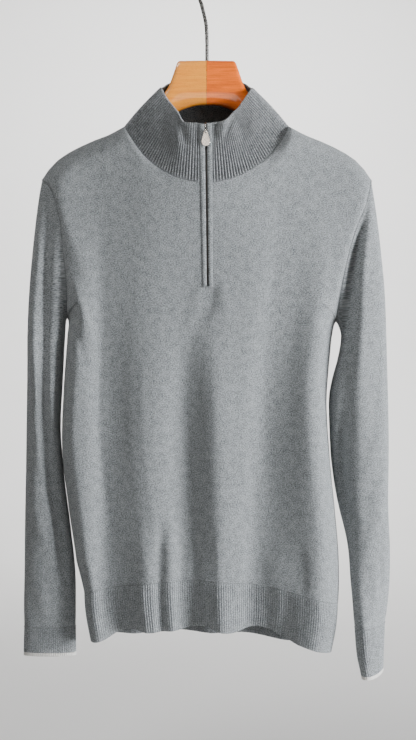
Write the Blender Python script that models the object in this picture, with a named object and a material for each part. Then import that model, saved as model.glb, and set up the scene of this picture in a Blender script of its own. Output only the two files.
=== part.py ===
"""Half-zip sweater with a ribbed stand collar, hanging on a wooden hanger.

Frame: +Z up, the front faces -Y, +X is the viewer's right. The origin is the inner top of the hook,
where the rail carries it. Tables and sizes are in millimetres; MM turns them into Blender's metres.

The cloth is built as walls: a grid of outer points, a second grid one wall thickness inside it, and
faces that close the edges between them. Neighbouring pieces share their seam points, each moved half
a gap away from the seam, so they lie SEAM_GAP apart and never cross.
"""
import math
from collections import namedtuple

import bpy
from mathutils import Vector

MM = 0.001

# ---------------------------------------------------------------- driving sizes (mm)
SEAM_GAP = 0.3          # clear space between two sewn pieces
KNIT_WALL = 2.0         # single fine-knit fabric, with its nap
BAND_WALL = 2.6         # ribbed hem band and cuffs
COLLAR_WALL = 3.2       # ribbed collar, two layers

NECK_HALF_WIDTH = 110.7
NECK_SIDE_Z = -235.0
NECK_FRONT_DROP = 82.5
NECK_BACK_RISE = 9.0
NECK_FRONT_DEPTH = 48.0
NECK_BACK_DEPTH = 38.0

COLLAR_RIBS = 134       # 1x1 rib, one wale every 4 mm at the base
RIB_RELIEF = 0.9        # from the bottom of a furrow to the top of a rib

HEM_BAND_HEIGHT = 65.0
CUFF_TIP_HEIGHT = 3.6

ZIP_TOP_X = -1.0
ZIP_FOOT_X = 1.7
ZIP_FOOT_Z = -453.3
SLIT_HALF_TOP = 9.0     # from the zip's middle to the edge of the knit
SLIT_HALF_FOOT = 7.2

SLEEVE_SIDES = 20       # points round a sleeve; half of them run along each half of an armhole
SHOULDER_STEPS = {-1: 10, 1: 8}     # columns of the front (-1) and the back (1) along a shoulder
NECK_STEPS = {-1: 10, 1: 10}        # and along half of the neckline

# ---------------------------------------------------------------- tables (mm)
# The shoulder's outline from the neck point to the top of the armhole, left side.
Outline = namedtuple("Outline", "x z")
SHOULDER = [
    Outline(110.7, -235.0),
    Outline(130.3, -245.8),
    Outline(150.5, -253.5),
    Outline(170.8, -262.5),
    Outline(186.0, -270.5),
    Outline(200.0, -280.0),
    Outline(212.0, -292.5),
    Outline(221.5, -306.5),
]

# The armhole seam as the front shows it, from the shoulder down to the underarm.
ARMHOLE_LEFT = [
    Outline(-221.5, -306.5),
    Outline(-213.5, -313.0),
    Outline(-206.0, -325.0),
    Outline(-199.0, -347.0),
    Outline(-194.0, -370.0),
    Outline(-190.5, -405.0),
    Outline(-187.5, -433.0),
    Outline(-186.0, -460.0),
    Outline(-187.5, -492.0),
]
ARMHOLE_RIGHT = [
    Outline(221.5, -306.5),
    Outline(217.5, -325.0),
    Outline(212.5, -343.0),
    Outline(205.5, -360.0),
    Outline(198.0, -378.0),
    Outline(191.0, -400.0),
    Outline(184.0, -430.0),
    Outline(178.0, -462.0),
    Outline(174.0, -497.0),
]

# The side seams, from the underarm to the hem's lower edge.
LEFT_SIDE = [
    Outline(-187.5, -492.0),
    Outline(-185.4, -498.0),
    Outline(-187.0, -515.0),
    Outline(-191.6, -579.0),
    Outline(-194.4, -664.0),
    Outline(-187.0, -736.0),
    Outline(-174.8, -821.0),
    Outline(-164.7, -861.0),
    Outline(-155.9, -927.0),
]
RIGHT_SIDE = [
    Outline(174.0, -497.0),
    Outline(171.0, -503.0),
    Outline(168.0, -520.0),
    Outline(163.6, -568.0),
    Outline(161.3, -610.0),
    Outline(166.1, -689.0),
    Outline(172.1, -748.0),
    Outline(177.5, -815.0),
    Outline(176.9, -875.0),
    Outline(168.1, -943.0),
]

# How far front and back stand off the middle plane: on the centre line and towards the sides.
Depth = namedtuple("Depth", "z centre edge")
FRONT_DEPTH = [
    Depth(-235.0, 48.0, 22.0),
    Depth(-317.0, 48.0, 25.0),
    Depth(-400.0, 47.0, 32.0),
    Depth(-500.0, 43.0, 37.0),
    Depth(-700.0, 39.0, 39.0),
    Depth(-945.0, 39.0, 39.0),
]
BACK_DEPTH = [
    Depth(-235.0, 38.0, 22.0),
    Depth(-317.0, 36.0, 24.0),
    Depth(-400.0, 35.0, 26.0),
    Depth(-500.0, 33.0, 28.0),
    Depth(-700.0, 32.0, 28.0),
    Depth(-945.0, 32.0, 27.0),
]

# Long soft folds: where each runs, how far it reaches to its left and right, how far it stands out
# (minus: lies in).
Fold = namedtuple("Fold", "top_x foot_x top_z full_z left right lift")
FRONT_FOLDS = [
    Fold(-141, -129, -340, -600, 15, 29, -12.0),
    Fold(-76, -72, -440, -640, 26, 26, 3.0),
    Fold(-26, -22, -440, -640, 22, 18, -11.0),
    Fold(14, 18, -440, -640, 16, 20, 4.0),
    Fold(104, 58, -340, -640, 25, 46, -14.0),
    Fold(148, 147, -320, -560, 38, 18, 7.0),
    Fold(-86, -84, -740, -810, 8, 8, 3.5),
    Fold(-60, -64, -740, -810, 7, 7, -4.0),
    Fold(-44, -46, -740, -810, 8, 8, 3.5),
]
BACK_FOLDS = [
    Fold(-150, -138, -400, -640, 22, 14, 7.0),
    Fold(-112, -100, -420, -700, 16, 24, -9.0),
    Fold(-52, -46, -460, -760, 26, 20, 5.0),
    Fold(2, 6, -440, -760, 20, 16, -9.0),
    Fold(52, 58, -480, -760, 20, 24, 6.0),
    Fold(104, 110, -460, -720, 20, 18, -8.0),
    Fold(146, 150, -420, -640, 15, 18, 6.0),
]

# Sleeve sections from the armhole to the cuff's edge. Each is a loop between its outer point, on the
# arm's silhouette, and its inner point, beside the body; front and back are its depths off that line.
Section = namedtuple("Section", "out_x out_y out_z in_x in_y in_z front back")
SLEEVE_LEFT = [
    Section(-221.5, 0, -306.5, -187.5, 0, -492.0, 24, 22),
    Section(-225.5, 0, -328.0, -190.2, 0, -499.0, 25, 23),
    Section(-229.5, 0, -358.0, -191.2, 0, -517.0, 27, 24),
    Section(-234.0, 0, -400.0, -192.6, 0, -543.0, 29, 26),
    Section(-238.5, 0, -455.0, -194.4, 0, -581.0, 31, 28),
    Section(-241.0, 0, -520.0, -197.0, 0, -625.0, 32, 30),
    Section(-242.5, 0, -595.0, -196.5, 8, -668.0, 32, 30),
    Section(-243.6, 0, -680.0, -192.5, 10, -714.0, 30, 29),
    Section(-245.0, 0, -760.0, -184.5, 7, -772.0, 26, 25),
    Section(-245.5, 0, -830.0, -177.4, 2, -832.0, 20, 20),
    Section(-246.4, 0, -880.0, -176.4, 0, -880.0, 15, 15),
    Section(-245.9, 0, -908.6, -176.6, 0, -908.6, 12, 12),
    Section(-246.4, 0, -930.0, -176.4, 0, -930.0, 11, 11),
    Section(-246.6, 0, -946.4, -176.2, 0, -946.4, 11, 11),
]
SLEEVE_RIGHT = [
    Section(221.5, 0, -306.5, 174.0, 0, -497.0, 24, 22),
    Section(225.3, 0, -330.0, 178.5, 0, -504.0, 25, 23),
    Section(230.0, 0, -362.0, 182.0, 0, -520.0, 27, 24),
    Section(234.5, 0, -400.0, 178.0, 0, -546.0, 29, 26),
    Section(240.0, 0, -458.0, 169.5, 0, -577.0, 31, 28),
    Section(242.3, 0, -522.0, 165.4, 0, -603.0, 31, 29),
    Section(245.0, 0, -604.0, 166.5, 6, -645.0, 30, 29),
    Section(246.4, 2, -671.0, 170.0, 12, -690.0, 28, 28),
    Section(245.8, 5, -738.0, 178.0, 8, -742.0, 26, 26),
    Section(246.4, 10, -800.0, 192.0, -8, -800.0, 22, 22),
    Section(246.2, 17, -850.0, 196.4, -16, -850.0, 17, 17),
    Section(243.0, 26, -893.0, 203.0, -26, -893.0, 13, 19),
    Section(240.5, 29, -907.0, 205.5, -29, -907.0, 12, 19),
    Section(239.2, 31, -945.0, 208.0, -31, -945.0, 11, 17),
    Section(238.0, 32, -972.6, 210.0, -32, -972.6, 11, 11),
]
SEAM_ROW_LEFT = 11.0        # row of the table where the cuff is sewn on
SEAM_ROW_RIGHT = 12.0

# Creases that run down a sleeve's front: where the furrow lies at each height.
Crease = namedtuple("Crease", "z x depth")
CREASE_LEFT = [
    Crease(-306, -212, 0.0),
    Crease(-340, -210, 6.0),
    Crease(-415, -214, 9.0),
    Crease(-520, -216, 9.0),
    Crease(-610, -216, 10.0),
    Crease(-700, -209, 11.0),
    Crease(-784, -196, 7.0),
    Crease(-870, -190, 0.0),
]
CREASE_RIGHT = [
    Crease(-306, 216, 0.0),
    Crease(-345, 206, 6.0),
    Crease(-410, 196, 9.0),
    Crease(-470, 190, 8.0),
    Crease(-530, 186, 5.0),
    Crease(-600, 182, 3.0),
    Crease(-680, 180, 11.0),
    Crease(-740, 187, 10.0),
    Crease(-800, 196, 0.0),
]
CREASE_HALF_WIDTH = 9.0

# The collar's upper edge. way: 0 at the zip, 1 at the side, 2 at the middle of the back.
Rim = namedtuple("Rim", "way x y z")
RIM_LEFT = [
    Rim(0.00, -10.0, -44.0, -240.0),
    Rim(0.20, -29.0, -45.0, -239.0),
    Rim(0.32, -34.0, -39.0, -232.5),
    Rim(0.52, -39.5, -30.0, -220.5),
    Rim(0.78, -53.5, -16.5, -200.5),
    Rim(0.91, -60.0, -11.5, -188.0),
    Rim(1.00, -62.5, 0.0, -182.0),
    Rim(1.10, -60.5, 11.5, -179.0),
    Rim(1.45, -46.0, 21.0, -170.0),
    Rim(2.00, 0.0, 27.0, -166.0),
]
RIM_RIGHT = [
    Rim(0.00, 8.0, -44.0, -239.5),
    Rim(0.15, 21.0, -45.0, -237.5),
    Rim(0.28, 29.0, -42.0, -233.0),
    Rim(0.42, 36.5, -33.0, -222.5),
    Rim(0.60, 43.0, -25.0, -214.5),
    Rim(0.80, 52.5, -16.5, -199.5),
    Rim(0.91, 59.5, -11.5, -188.0),
    Rim(1.00, 62.5, 0.0, -182.5),
    Rim(1.10, 60.5, 11.5, -179.0),
    Rim(1.45, 46.0, 21.0, -170.0),
    Rim(2.00, 0.0, 27.0, -166.0),
]

# Hanger arm, half of the pair: its upper and lower edge and its half thickness, from the middle out.
Arm = namedtuple("Arm", "x top foot half_depth")
ARM = [
    Arm(0.0, -146.0, -205.3, 7.2),
    Arm(14.0, -146.0, -206.0, 7.2),
    Arm(30.0, -146.2, -210.5, 7.2),
    Arm(38.5, -147.5, -214.5, 7.2),
    Arm(43.5, -160.0, -218.0, 7.3),
    Arm(51.0, -180.0, -223.5, 7.6),
    Arm(62.0, -196.0, -231.0, 8.0),
    Arm(80.0, -216.0, -243.0, 9.0),
    Arm(100.0, -236.0, -258.0, 10.0),
    Arm(122.0, -251.0, -272.5, 11.0),
    Arm(145.0, -260.5, -285.5, 12.0),
    Arm(168.0, -270.5, -297.0, 12.5),
    Arm(186.0, -282.0, -306.0, 12.5),
    Arm(197.0, -293.0, -310.0, 10.5),
    Arm(202.0, -300.5, -306.5, 6.0),
]

# Hook: the wire's centre line from its screw end up to where the round of the hook starts.
Bend = namedtuple("Bend", "x z")
HOOK_STEM = [
    Bend(0.7, -171.0),
    Bend(0.7, -146.0),
    Bend(0.4, -113.0),
    Bend(-0.6, -98.0),
    Bend(-3.2, -84.0),
    Bend(-8.0, -66.0),
    Bend(-15.5, -50.0),
    Bend(-22.3, -36.0),
]
HOOK_RADIUS = 25.0
WIRE_RADIUS = 2.4


# ---------------------------------------------------------------- helpers
def clear_scene():
    for thing in list(bpy.data.objects):
        bpy.data.objects.remove(thing, do_unlink=True)


def material(name, red, green, blue, roughness, metallic=0.0):
    found = bpy.data.materials.new(name)
    found.use_nodes = True
    shader = found.node_tree.nodes["Principled BSDF"]
    shader.inputs["Base Color"].default_value = (red, green, blue, 1.0)
    shader.inputs["Roughness"].default_value = roughness
    shader.inputs["Metallic"].default_value = metallic
    found.diffuse_color = (red, green, blue, 1.0)
    return found


def lerp(a, b, share):
    return a + (b - a) * share


def smooth_value(rows, column, place):
    """A column of a table at a fractional row, on a soft curve through its rows."""
    last = len(rows) - 1
    i = min(max(int(place), 0), last - 1)
    f = place - i
    before = getattr(rows[max(i - 1, 0)], column)
    here = getattr(rows[i], column)
    there = getattr(rows[i + 1], column)
    after = getattr(rows[min(i + 2, last)], column)
    slope_here = (there - before) / 2
    slope_there = (after - here) / 2
    rise = there - here
    return here + f * (slope_here + f * (3 * rise - 2 * slope_here - slope_there
                                         + f * (slope_here + slope_there - 2 * rise)))


def place_of(rows, column, value):
    """The fractional row at which a falling or rising column takes a value."""
    for i in range(len(rows) - 1):
        a = getattr(rows[i], column)
        b = getattr(rows[i + 1], column)
        if min(a, b) <= value <= max(a, b):
            return i + (value - a) / (b - a)
    first = getattr(rows[0], column)
    return 0.0 if abs(value - first) < abs(value - getattr(rows[-1], column)) else len(rows) - 1.0


def read_table(rows, key, value, column):
    return smooth_value(rows, column, place_of(rows, key, value))


def rounded(share):
    """A quarter circle's rise: 0 at the edge, 1 from share 1 on."""
    share = min(max(share, 0.0), 1.0)
    return math.sqrt(1 - (1 - share) ** 2)


def eased(share):
    share = min(max(share, 0.0), 1.0)
    return share * share * (3 - 2 * share)


def resample(points, steps):
    """The same curve with its points spread at equal lengths."""
    lengths = [0.0]
    for a, b in zip(points, points[1:]):
        lengths.append(lengths[-1] + (b - a).length)
    spread = []
    i = 0
    for step in range(steps + 1):
        target = lengths[-1] * step / steps
        while i < len(points) - 2 and lengths[i + 1] < target:
            i += 1
        share = (target - lengths[i]) / (lengths[i + 1] - lengths[i])
        spread.append(points[i].lerp(points[i + 1], min(share, 1.0)))
    return spread


def add_body(name, points, faces, finish):
    """One closed body from points in mm."""
    mesh = bpy.data.meshes.new(name)
    mesh.from_pydata([p * MM for p in points], [], faces)
    mesh.validate()
    mesh.materials.append(finish)
    mesh.shade_smooth()
    mesh.set_sharp_from_angle(angle=math.radians(40))
    body = bpy.data.objects.new(name, mesh)
    bpy.context.scene.collection.objects.link(body)
    return body


def grid_quads(rows, columns, closed=False, left_out=None):
    """Faces of a grid; left_out(i, j) says which ones are missing, such as a slit."""
    quads = []
    for i in range(rows - 1):
        for j in range(columns if closed else columns - 1):
            if left_out is None or not left_out(i, j):
                k = (j + 1) % columns
                quads.append((i * columns + j, (i + 1) * columns + j, (i + 1) * columns + k, i * columns + k))
    return quads


def grid_normals(points, quads):
    normals = [Vector((0, 0, 0)) for _ in points]
    for quad in quads:
        a, b, c, d = (points[v] for v in quad)
        across = (c - a).cross(d - b)
        for v in quad:
            normals[v] += across
    return [n.normalized() if n.length > 1e-9 else Vector((0, -1, 0)) for n in normals]


def wall(name, points, quads, thickness, finish, seam_normals):
    """A cloth wall: outer points, inner points one thickness in, and the edges closed."""
    normals = grid_normals(points, quads)
    for v, normal in seam_normals.items():
        normals[v] = normal(normals[v]).normalized()
    used = sorted({v for quad in quads for v in quad})
    index = {v: n for n, v in enumerate(used)}
    outer = [points[v] for v in used]
    inner = [points[v] - normals[v] * thickness for v in used]
    shift = len(used)
    faces = []
    edges = {}
    for quad in quads:
        loop = [index[v] for v in quad]
        faces.append(loop)
        faces.append([v + shift for v in reversed(loop)])
        for a, b in zip(loop, loop[1:] + loop[:1]):
            edges[(a, b)] = True
    for a, b in edges:
        if (b, a) not in edges:
            faces.append([b, a, a + shift, b + shift])
    return add_body(name, outer + inner, faces, finish), normals


# ---------------------------------------------------------------- shared seams
def neck_point(side, angle, face):
    """A point of the collar seam: angle 0 at the side, 90 degrees at the middle."""
    across = math.cos(angle) * NECK_HALF_WIDTH * side
    inwards = math.sin(angle)
    if face < 0:
        return Vector((across, -NECK_FRONT_DEPTH * inwards, NECK_SIDE_Z - NECK_FRONT_DROP * inwards ** 1.5))
    return Vector((across, NECK_BACK_DEPTH * inwards, NECK_SIDE_Z + NECK_BACK_RISE * inwards))


def neck_seam(side, face):
    """Half of the collar seam, from the side to the zip's edge or to the middle of the back."""
    curve = [neck_point(side, math.pi / 2 * n / 200, face) for n in range(201)]
    if face < 0:
        edge = zip_middle(curve[-1].z) + side * slit_half(curve[-1].z)
        curve = [p for p in curve if (p.x - edge) * side > 0]
        curve.append(Vector((edge, curve[-1].y, curve[-1].z)))
    return resample(curve, NECK_STEPS[face])


def neck_normal(side, point, face):
    """Out of the cloth at the collar seam."""
    inwards = 1 - abs(point.x) / NECK_HALF_WIDTH
    spread = min(inwards * 3, 1.0)
    steep = Vector((side * 0.6, 0, 0.8))
    flat = Vector((0, face, 0.12))
    return (steep * (1 - spread) + flat * spread).normalized()


def zip_middle(z):
    return lerp(ZIP_TOP_X, ZIP_FOOT_X, (z + 239.0) / (ZIP_FOOT_Z + 239.0))


def slit_half(z):
    return lerp(SLIT_HALF_TOP, SLIT_HALF_FOOT, (z + 239.0) / (ZIP_FOOT_Z + 239.0))


def armhole_loop(side):
    """Points round an armhole, starting on the shoulder and going down the front."""
    table = ARMHOLE_LEFT if side < 0 else ARMHOLE_RIGHT
    section = (SLEEVE_LEFT if side < 0 else SLEEVE_RIGHT)[0]
    loop = []
    for k in range(SLEEVE_SIDES):
        angle = 2 * math.pi * k / SLEEVE_SIDES
        z = lerp(section.out_z, section.in_z, (1 - math.cos(angle)) / 2)
        depth = section.front if angle < math.pi else section.back
        loop.append(Vector((read_table(table, "z", z, "x"), -depth * loop_sine(angle), z)))
    return loop


def loop_sine(angle):
    """A sine with fuller shoulders, which gives a sleeve's section its flattened sides."""
    s = math.sin(angle)
    return math.copysign(abs(s) ** 0.8, s) if abs(s) > 1e-9 else 0.0


def armhole_normals(side):
    """Out of the cloth round an armhole: up at the shoulder, to the front or back, down below."""
    above = Vector((side * 0.75, 0, 0.66))
    below = Vector((0, 0, -1))
    normals = []
    for k in range(SLEEVE_SIDES):
        angle = 2 * math.pi * k / SLEEVE_SIDES
        lift = math.cos(angle)
        ahead = Vector((0, -math.sin(angle), 0))
        end = above if lift > 0 else below
        normals.append((end * abs(lift) ** 3 + ahead).normalized())
    return normals


# ---------------------------------------------------------------- body panels
SIDE_STEPS = [0.016, 0.06, 0.17, 0.32, 0.5, 0.68, 0.85, 1.0]
HEM_SEAM_LEFT_Z = -861.0
HEM_SEAM_RIGHT_Z = -876.0
HEM_SEAM_RISE = {-1: 27.0, 1: 12.0}
SIDE_ROUNDING = 36.0
ARMHOLE_ROUNDING = 28.0
UNDERARM_Z = -440.0
UNDERARM_EASE = 190.0
SHOULDER_ROUNDING = 26.0
NECK_ROUNDING = 60.0


def side_line(side, face):
    """A panel's side edge: down the armhole, then down the side seam."""
    half = SLEEVE_SIDES // 2
    loop = armhole_loop(side)
    order = range(half + 1) if face < 0 else [0] + list(range(SLEEVE_SIDES - 1, half - 1, -1))
    line = [loop[k] for k in order]
    table = LEFT_SIDE if side < 0 else RIGHT_SIDE
    foot = HEM_SEAM_LEFT_Z if side < 0 else HEM_SEAM_RIGHT_Z
    start = line[-1].z
    for step in SIDE_STEPS:
        z = lerp(start, foot, step)
        line.append(Vector((read_table(table, "z", z, "x"), 0, z)))
    return line


def top_line(face):
    """A panel's upper edge: shoulder, neckline, shoulder."""
    line = []
    for side in (-1, 1):
        curve = [Vector((side * row.x, 0, row.z)) for row in SHOULDER]
        slope = resample(curve, SHOULDER_STEPS[face])
        half = list(reversed(slope)) + neck_seam(side, face)[1:]
        line.append(half)
    right = list(reversed(line[1]))
    return line[0] + (right if face < 0 else right[1:])


def fold_offset(folds, x, z):
    """How far the long folds carry the cloth out at a point."""
    total = 0.0
    for fold in folds:
        middle = lerp(fold.top_x, fold.foot_x, (fold.top_z - z) / (fold.top_z + 945.0))
        reach = fold.left if x < middle else fold.right
        strength = eased((fold.top_z - z) / (fold.top_z - fold.full_z))
        total += fold.lift * strength * math.exp(-((x - middle) / reach) ** 2)
    return total


def panel_points(face):
    """Grid of a body panel, row by row from the shoulder down, left to right."""
    top = top_line(face)
    left = side_line(-1, face)
    right = side_line(1, face)
    depths = FRONT_DEPTH if face < 0 else BACK_DEPTH
    folds = FRONT_FOLDS if face < 0 else BACK_FOLDS
    width_top = top[-1].x - top[0].x
    foot_left, foot_right = left[-1], right[-1]
    points = []
    for i in range(len(left)):
        v = (left[i].z - left[0].z) / (foot_left.z - left[0].z)
        for j, head in enumerate(top):
            w = (head.x - top[0].x) / width_top
            if j == 0 or j == len(top) - 1:
                points.append((left if j == 0 else right)[i].copy())
                continue
            if i == 0:
                points.append(head.copy())
                continue
            rise = HEM_SEAM_RISE[face] * math.sin(math.pi * w) ** 0.8
            foot_x = lerp(foot_left.x, foot_right.x, w)
            foot_z = lerp(foot_left.z, foot_right.z, w) + rise
            corner_x = lerp(lerp(top[0].x, top[-1].x, w), lerp(foot_left.x, foot_right.x, w), v)
            corner_z = lerp(lerp(top[0].z, top[-1].z, w), lerp(foot_left.z, foot_right.z, w), v)
            x = lerp(head.x, foot_x, v) + lerp(left[i].x, right[i].x, w) - corner_x
            z = lerp(head.z, foot_z, v) + lerp(left[i].z, right[i].z, w) - corner_z
            neck_share = eased(1 - abs(head.x) / NECK_HALF_WIDTH)
            from_top = rounded((head.z - z) / lerp(SHOULDER_ROUNDING, NECK_ROUNDING, neck_share))
            edge = left[i] if w < 0.5 else right[i]
            below_arm = eased((UNDERARM_Z - z) / UNDERARM_EASE)
            reach = lerp(ARMHOLE_ROUNDING, SIDE_ROUNDING, below_arm)
            from_side = rounded(abs(x - edge.x) / reach)
            centre = read_table(depths, "z", z, "centre")
            side = read_table(depths, "z", z, "edge")
            full = lerp(side, centre, math.cos(min(abs(x) / 200, 1) * math.pi / 2) ** 2)
            full += fold_offset(folds, x, z)
            y = head.y * (1 - from_top) + edge.y * (1 - from_side) + face * full * from_side * from_top
            points.append(Vector((x, y, z)))
    return points, len(left), len(top)


def edge_normals(line):
    """In the middle plane, out of the cloth along a side or shoulder line of points."""
    normals = []
    for i in range(len(line)):
        ahead = line[min(i + 1, len(line) - 1)] - line[max(i - 1, 0)]
        normals.append(Vector((-ahead.z, 0, ahead.x)).normalized())
    return normals


def panel(face, finish):
    """Front (face -1) or back (face 1) of the body, with the zip's slit in the front."""
    points, rows, columns = panel_points(face)
    half = SLEEVE_SIDES // 2
    middle = SHOULDER_STEPS[face] + NECK_STEPS[face]
    if face < 0:
        foot_row = slit_rows(points, rows, columns, middle)
        quads = grid_quads(rows, columns, left_out=lambda i, j: j == middle and i < foot_row)
    else:
        foot_row = 0
        quads = [tuple(reversed(quad)) for quad in grid_quads(rows, columns)]
    seams = {}
    gap = SEAM_GAP / 2
    for side, column in ((-1, 0), (1, columns - 1)):
        loop = armhole_normals(side)
        line = [points[i * columns + column] for i in range(rows)]
        along = edge_normals(line)
        for i in range(rows):
            if i <= half:
                k = i if face < 0 else (SLEEVE_SIDES - i) % SLEEVE_SIDES
                normal = loop[k]
            else:
                normal = along[i] if along[i].x * side > 0 else -along[i]
            seams[i * columns + column] = fixed(normal)
    for j in range(1, columns - 1):
        head = points[j]
        side = -1 if head.x < 0 else 1
        if abs(head.x) > NECK_HALF_WIDTH - 0.01:
            slope = points[j + 1] - points[j - 1]
            seams[j] = fixed(Vector((-slope.z, 0, slope.x)).normalized())
        else:
            seams[j] = fixed(neck_normal(side, head, face))
        seams[(rows - 1) * columns + j] = flattened("z")
    for i in range(1, foot_row + 1):
        for j in (middle, middle + 1):
            seams[i * columns + j] = flattened("x")
    moved = [p.copy() for p in points]
    for i in range(rows):
        for j in range(columns):
            p = moved[i * columns + j]
            if i == 0 and abs(p.x) < NECK_HALF_WIDTH + 0.01:
                p.z -= gap
            if i == rows - 1:
                p.z += gap
            if j in (0, columns - 1) and i <= half:
                p.x -= gap * (-1 if j == 0 else 1)
            on_middle = (j in (0, columns - 1) and (i >= half or i == 0)) or (i == 0 and abs(p.y) < 1e-6)
            if on_middle:
                p.y += face * gap
    name = "front" if face < 0 else "back"
    body, normals = wall(name, moved, quads, KNIT_WALL, finish, seams)
    return points, rows, columns, normals, foot_row


def fixed(normal):
    return lambda found: normal


def flattened(axis):
    """The wall's own direction, turned into the plane that its seam lies in."""
    def turn(found):
        kept = found.copy()
        setattr(kept, axis, 0.0)
        return kept
    return turn


def slit_rows(points, rows, columns, middle):
    """Lays the two columns beside the zip along its slit and finds the row at its foot."""
    foot = min(range(rows), key=lambda i: abs(points[i * columns + middle].z - ZIP_FOOT_Z))
    for i in range(rows):
        for j, side in ((middle, -1), (middle + 1, 1)):
            p = points[i * columns + j]
            if i == foot:
                p.z = ZIP_FOOT_Z
            if i <= foot:
                p.x = zip_middle(p.z) + side * slit_half(p.z)
    return foot


# ---------------------------------------------------------------- sleeves, cuffs and their white tips
def sleeve_table(side):
    return (SLEEVE_LEFT, SEAM_ROW_LEFT) if side < 0 else (SLEEVE_RIGHT, SEAM_ROW_RIGHT)


def plain_ring(side, place):
    """A section of the sleeve at a fractional row of its table."""
    rows, _ = sleeve_table(side)
    value = {name: smooth_value(rows, name, place) for name in Section._fields}
    outer = Vector((value["out_x"], value["out_y"], value["out_z"]))
    inner = Vector((value["in_x"], value["in_y"], value["in_z"]))
    chord = inner - outer
    ahead = Vector((-side * chord.y, side * chord.x, 0)).normalized()
    ring = []
    for k in range(SLEEVE_SIDES):
        angle = 2 * math.pi * k / SLEEVE_SIDES
        depth = value["front"] if angle < math.pi else value["back"]
        p = outer + chord * (1 - math.cos(angle)) / 2 + ahead * depth * loop_sine(angle)
        ring.append(p)
    return ring, ahead


def sleeve_ring(side, place):
    """A section of the sleeve that starts as the armhole and carries its crease."""
    ring, ahead = plain_ring(side, place)
    start, _ = plain_ring(side, 0.0)
    loop = armhole_loop(side)
    creases = CREASE_LEFT if side < 0 else CREASE_RIGHT
    left_over = 1 - eased(place / 4.0)
    for k, p in enumerate(ring):
        p += (loop[k] - start[k]) * left_over
        share = math.sin(2 * math.pi * k / SLEEVE_SIDES)
        if share > 0 and place > 0:
            off = (p.x - read_table(creases, "z", p.z, "x")) / CREASE_HALF_WIDTH
            depth = read_table(creases, "z", p.z, "depth")
            p -= ahead * depth * share * eased(place) * math.exp(-off * off)
    return ring


def tube_wall(name, side, rings, thickness, finish, first_normals=None):
    """A cloth tube from its rings, open at both ends."""
    points = [p for ring in rings for p in ring]
    quads = grid_quads(len(rings), SLEEVE_SIDES, closed=True)
    if side > 0:
        quads = [tuple(reversed(quad)) for quad in quads]
    seams = {}
    last = (len(rings) - 1) * SLEEVE_SIDES
    for k in range(SLEEVE_SIDES):
        seams[k] = fixed(first_normals[k]) if first_normals else flattened("z")
        seams[last + k] = flattened("z")
    return wall(name, points, quads, thickness, finish, seams)


SLEEVE_PLACES = [0.0, 0.45, 1.0, 1.6, 2.3, 3.1, 4.0, 5.0, 6.0, 7.0, 8.0, 9.0]


def sleeve(side, name, finish):
    _, seam_row = sleeve_table(side)
    rings = [sleeve_ring(side, place) for place in SLEEVE_PLACES + [(9.0 + seam_row) / 2, seam_row]]
    for p in rings[0]:
        p.x += side * SEAM_GAP
    for p in rings[-1]:
        p.z += SEAM_GAP / 2
    tube_wall(name, side, rings, KNIT_WALL, finish, armhole_normals(side))


def cuff_ring(side, z):
    rows, _ = sleeve_table(side)
    ring = sleeve_ring(side, place_of(rows, "out_z", z))
    for p in ring:
        p.z = z
    return ring


def cuff(side, names, finishes):
    """The ribbed cuff and the few white rows that end it."""
    rows, seam_row = sleeve_table(side)
    top = rows[int(seam_row)].out_z - SEAM_GAP / 2
    foot = rows[-1].out_z
    tip_top = foot + CUFF_TIP_HEIGHT
    rings = [cuff_ring(side, lerp(top, tip_top + SEAM_GAP, share)) for share in (0, 0.33, 0.67, 1)]
    tube_wall(names[0], side, rings, BAND_WALL, finishes[0])
    tube_wall(names[1], side, [cuff_ring(side, tip_top), cuff_ring(side, foot)], BAND_WALL, finishes[1])


# ---------------------------------------------------------------- hem band
HEM_ROWS = [0.0, 0.35, 0.7, 1.0]
HEM_PULL = 0.03         # the rib draws the hem's curve in

# How far the band's lower edge lies behind its seam and how far that lifts it.
Wave = namedtuple("Wave", "x tuck lift")
HEM_WAVE = {
    -1: [Wave(-170, 0, 0), Wave(-140, 2, 0), Wave(-122, 9, 5), Wave(-110, 9, 7), Wave(-83, 5, 1),
         Wave(-38, 2, 1), Wave(-5, 9, 4), Wave(15, 0, 0), Wave(35, 0, 0), Wave(57, 2, 7),
         Wave(72, 3, 10), Wave(89, 6, 8), Wave(110, 6, 3), Wave(126, 0, 0), Wave(180, 0, 0)],
    1: [Wave(-170, 0, 0), Wave(-120, 6, 1), Wave(-60, 0, 0), Wave(0, 6, 1), Wave(60, 0, 0),
        Wave(120, 6, 1), Wave(180, 0, 0)],
}


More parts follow.
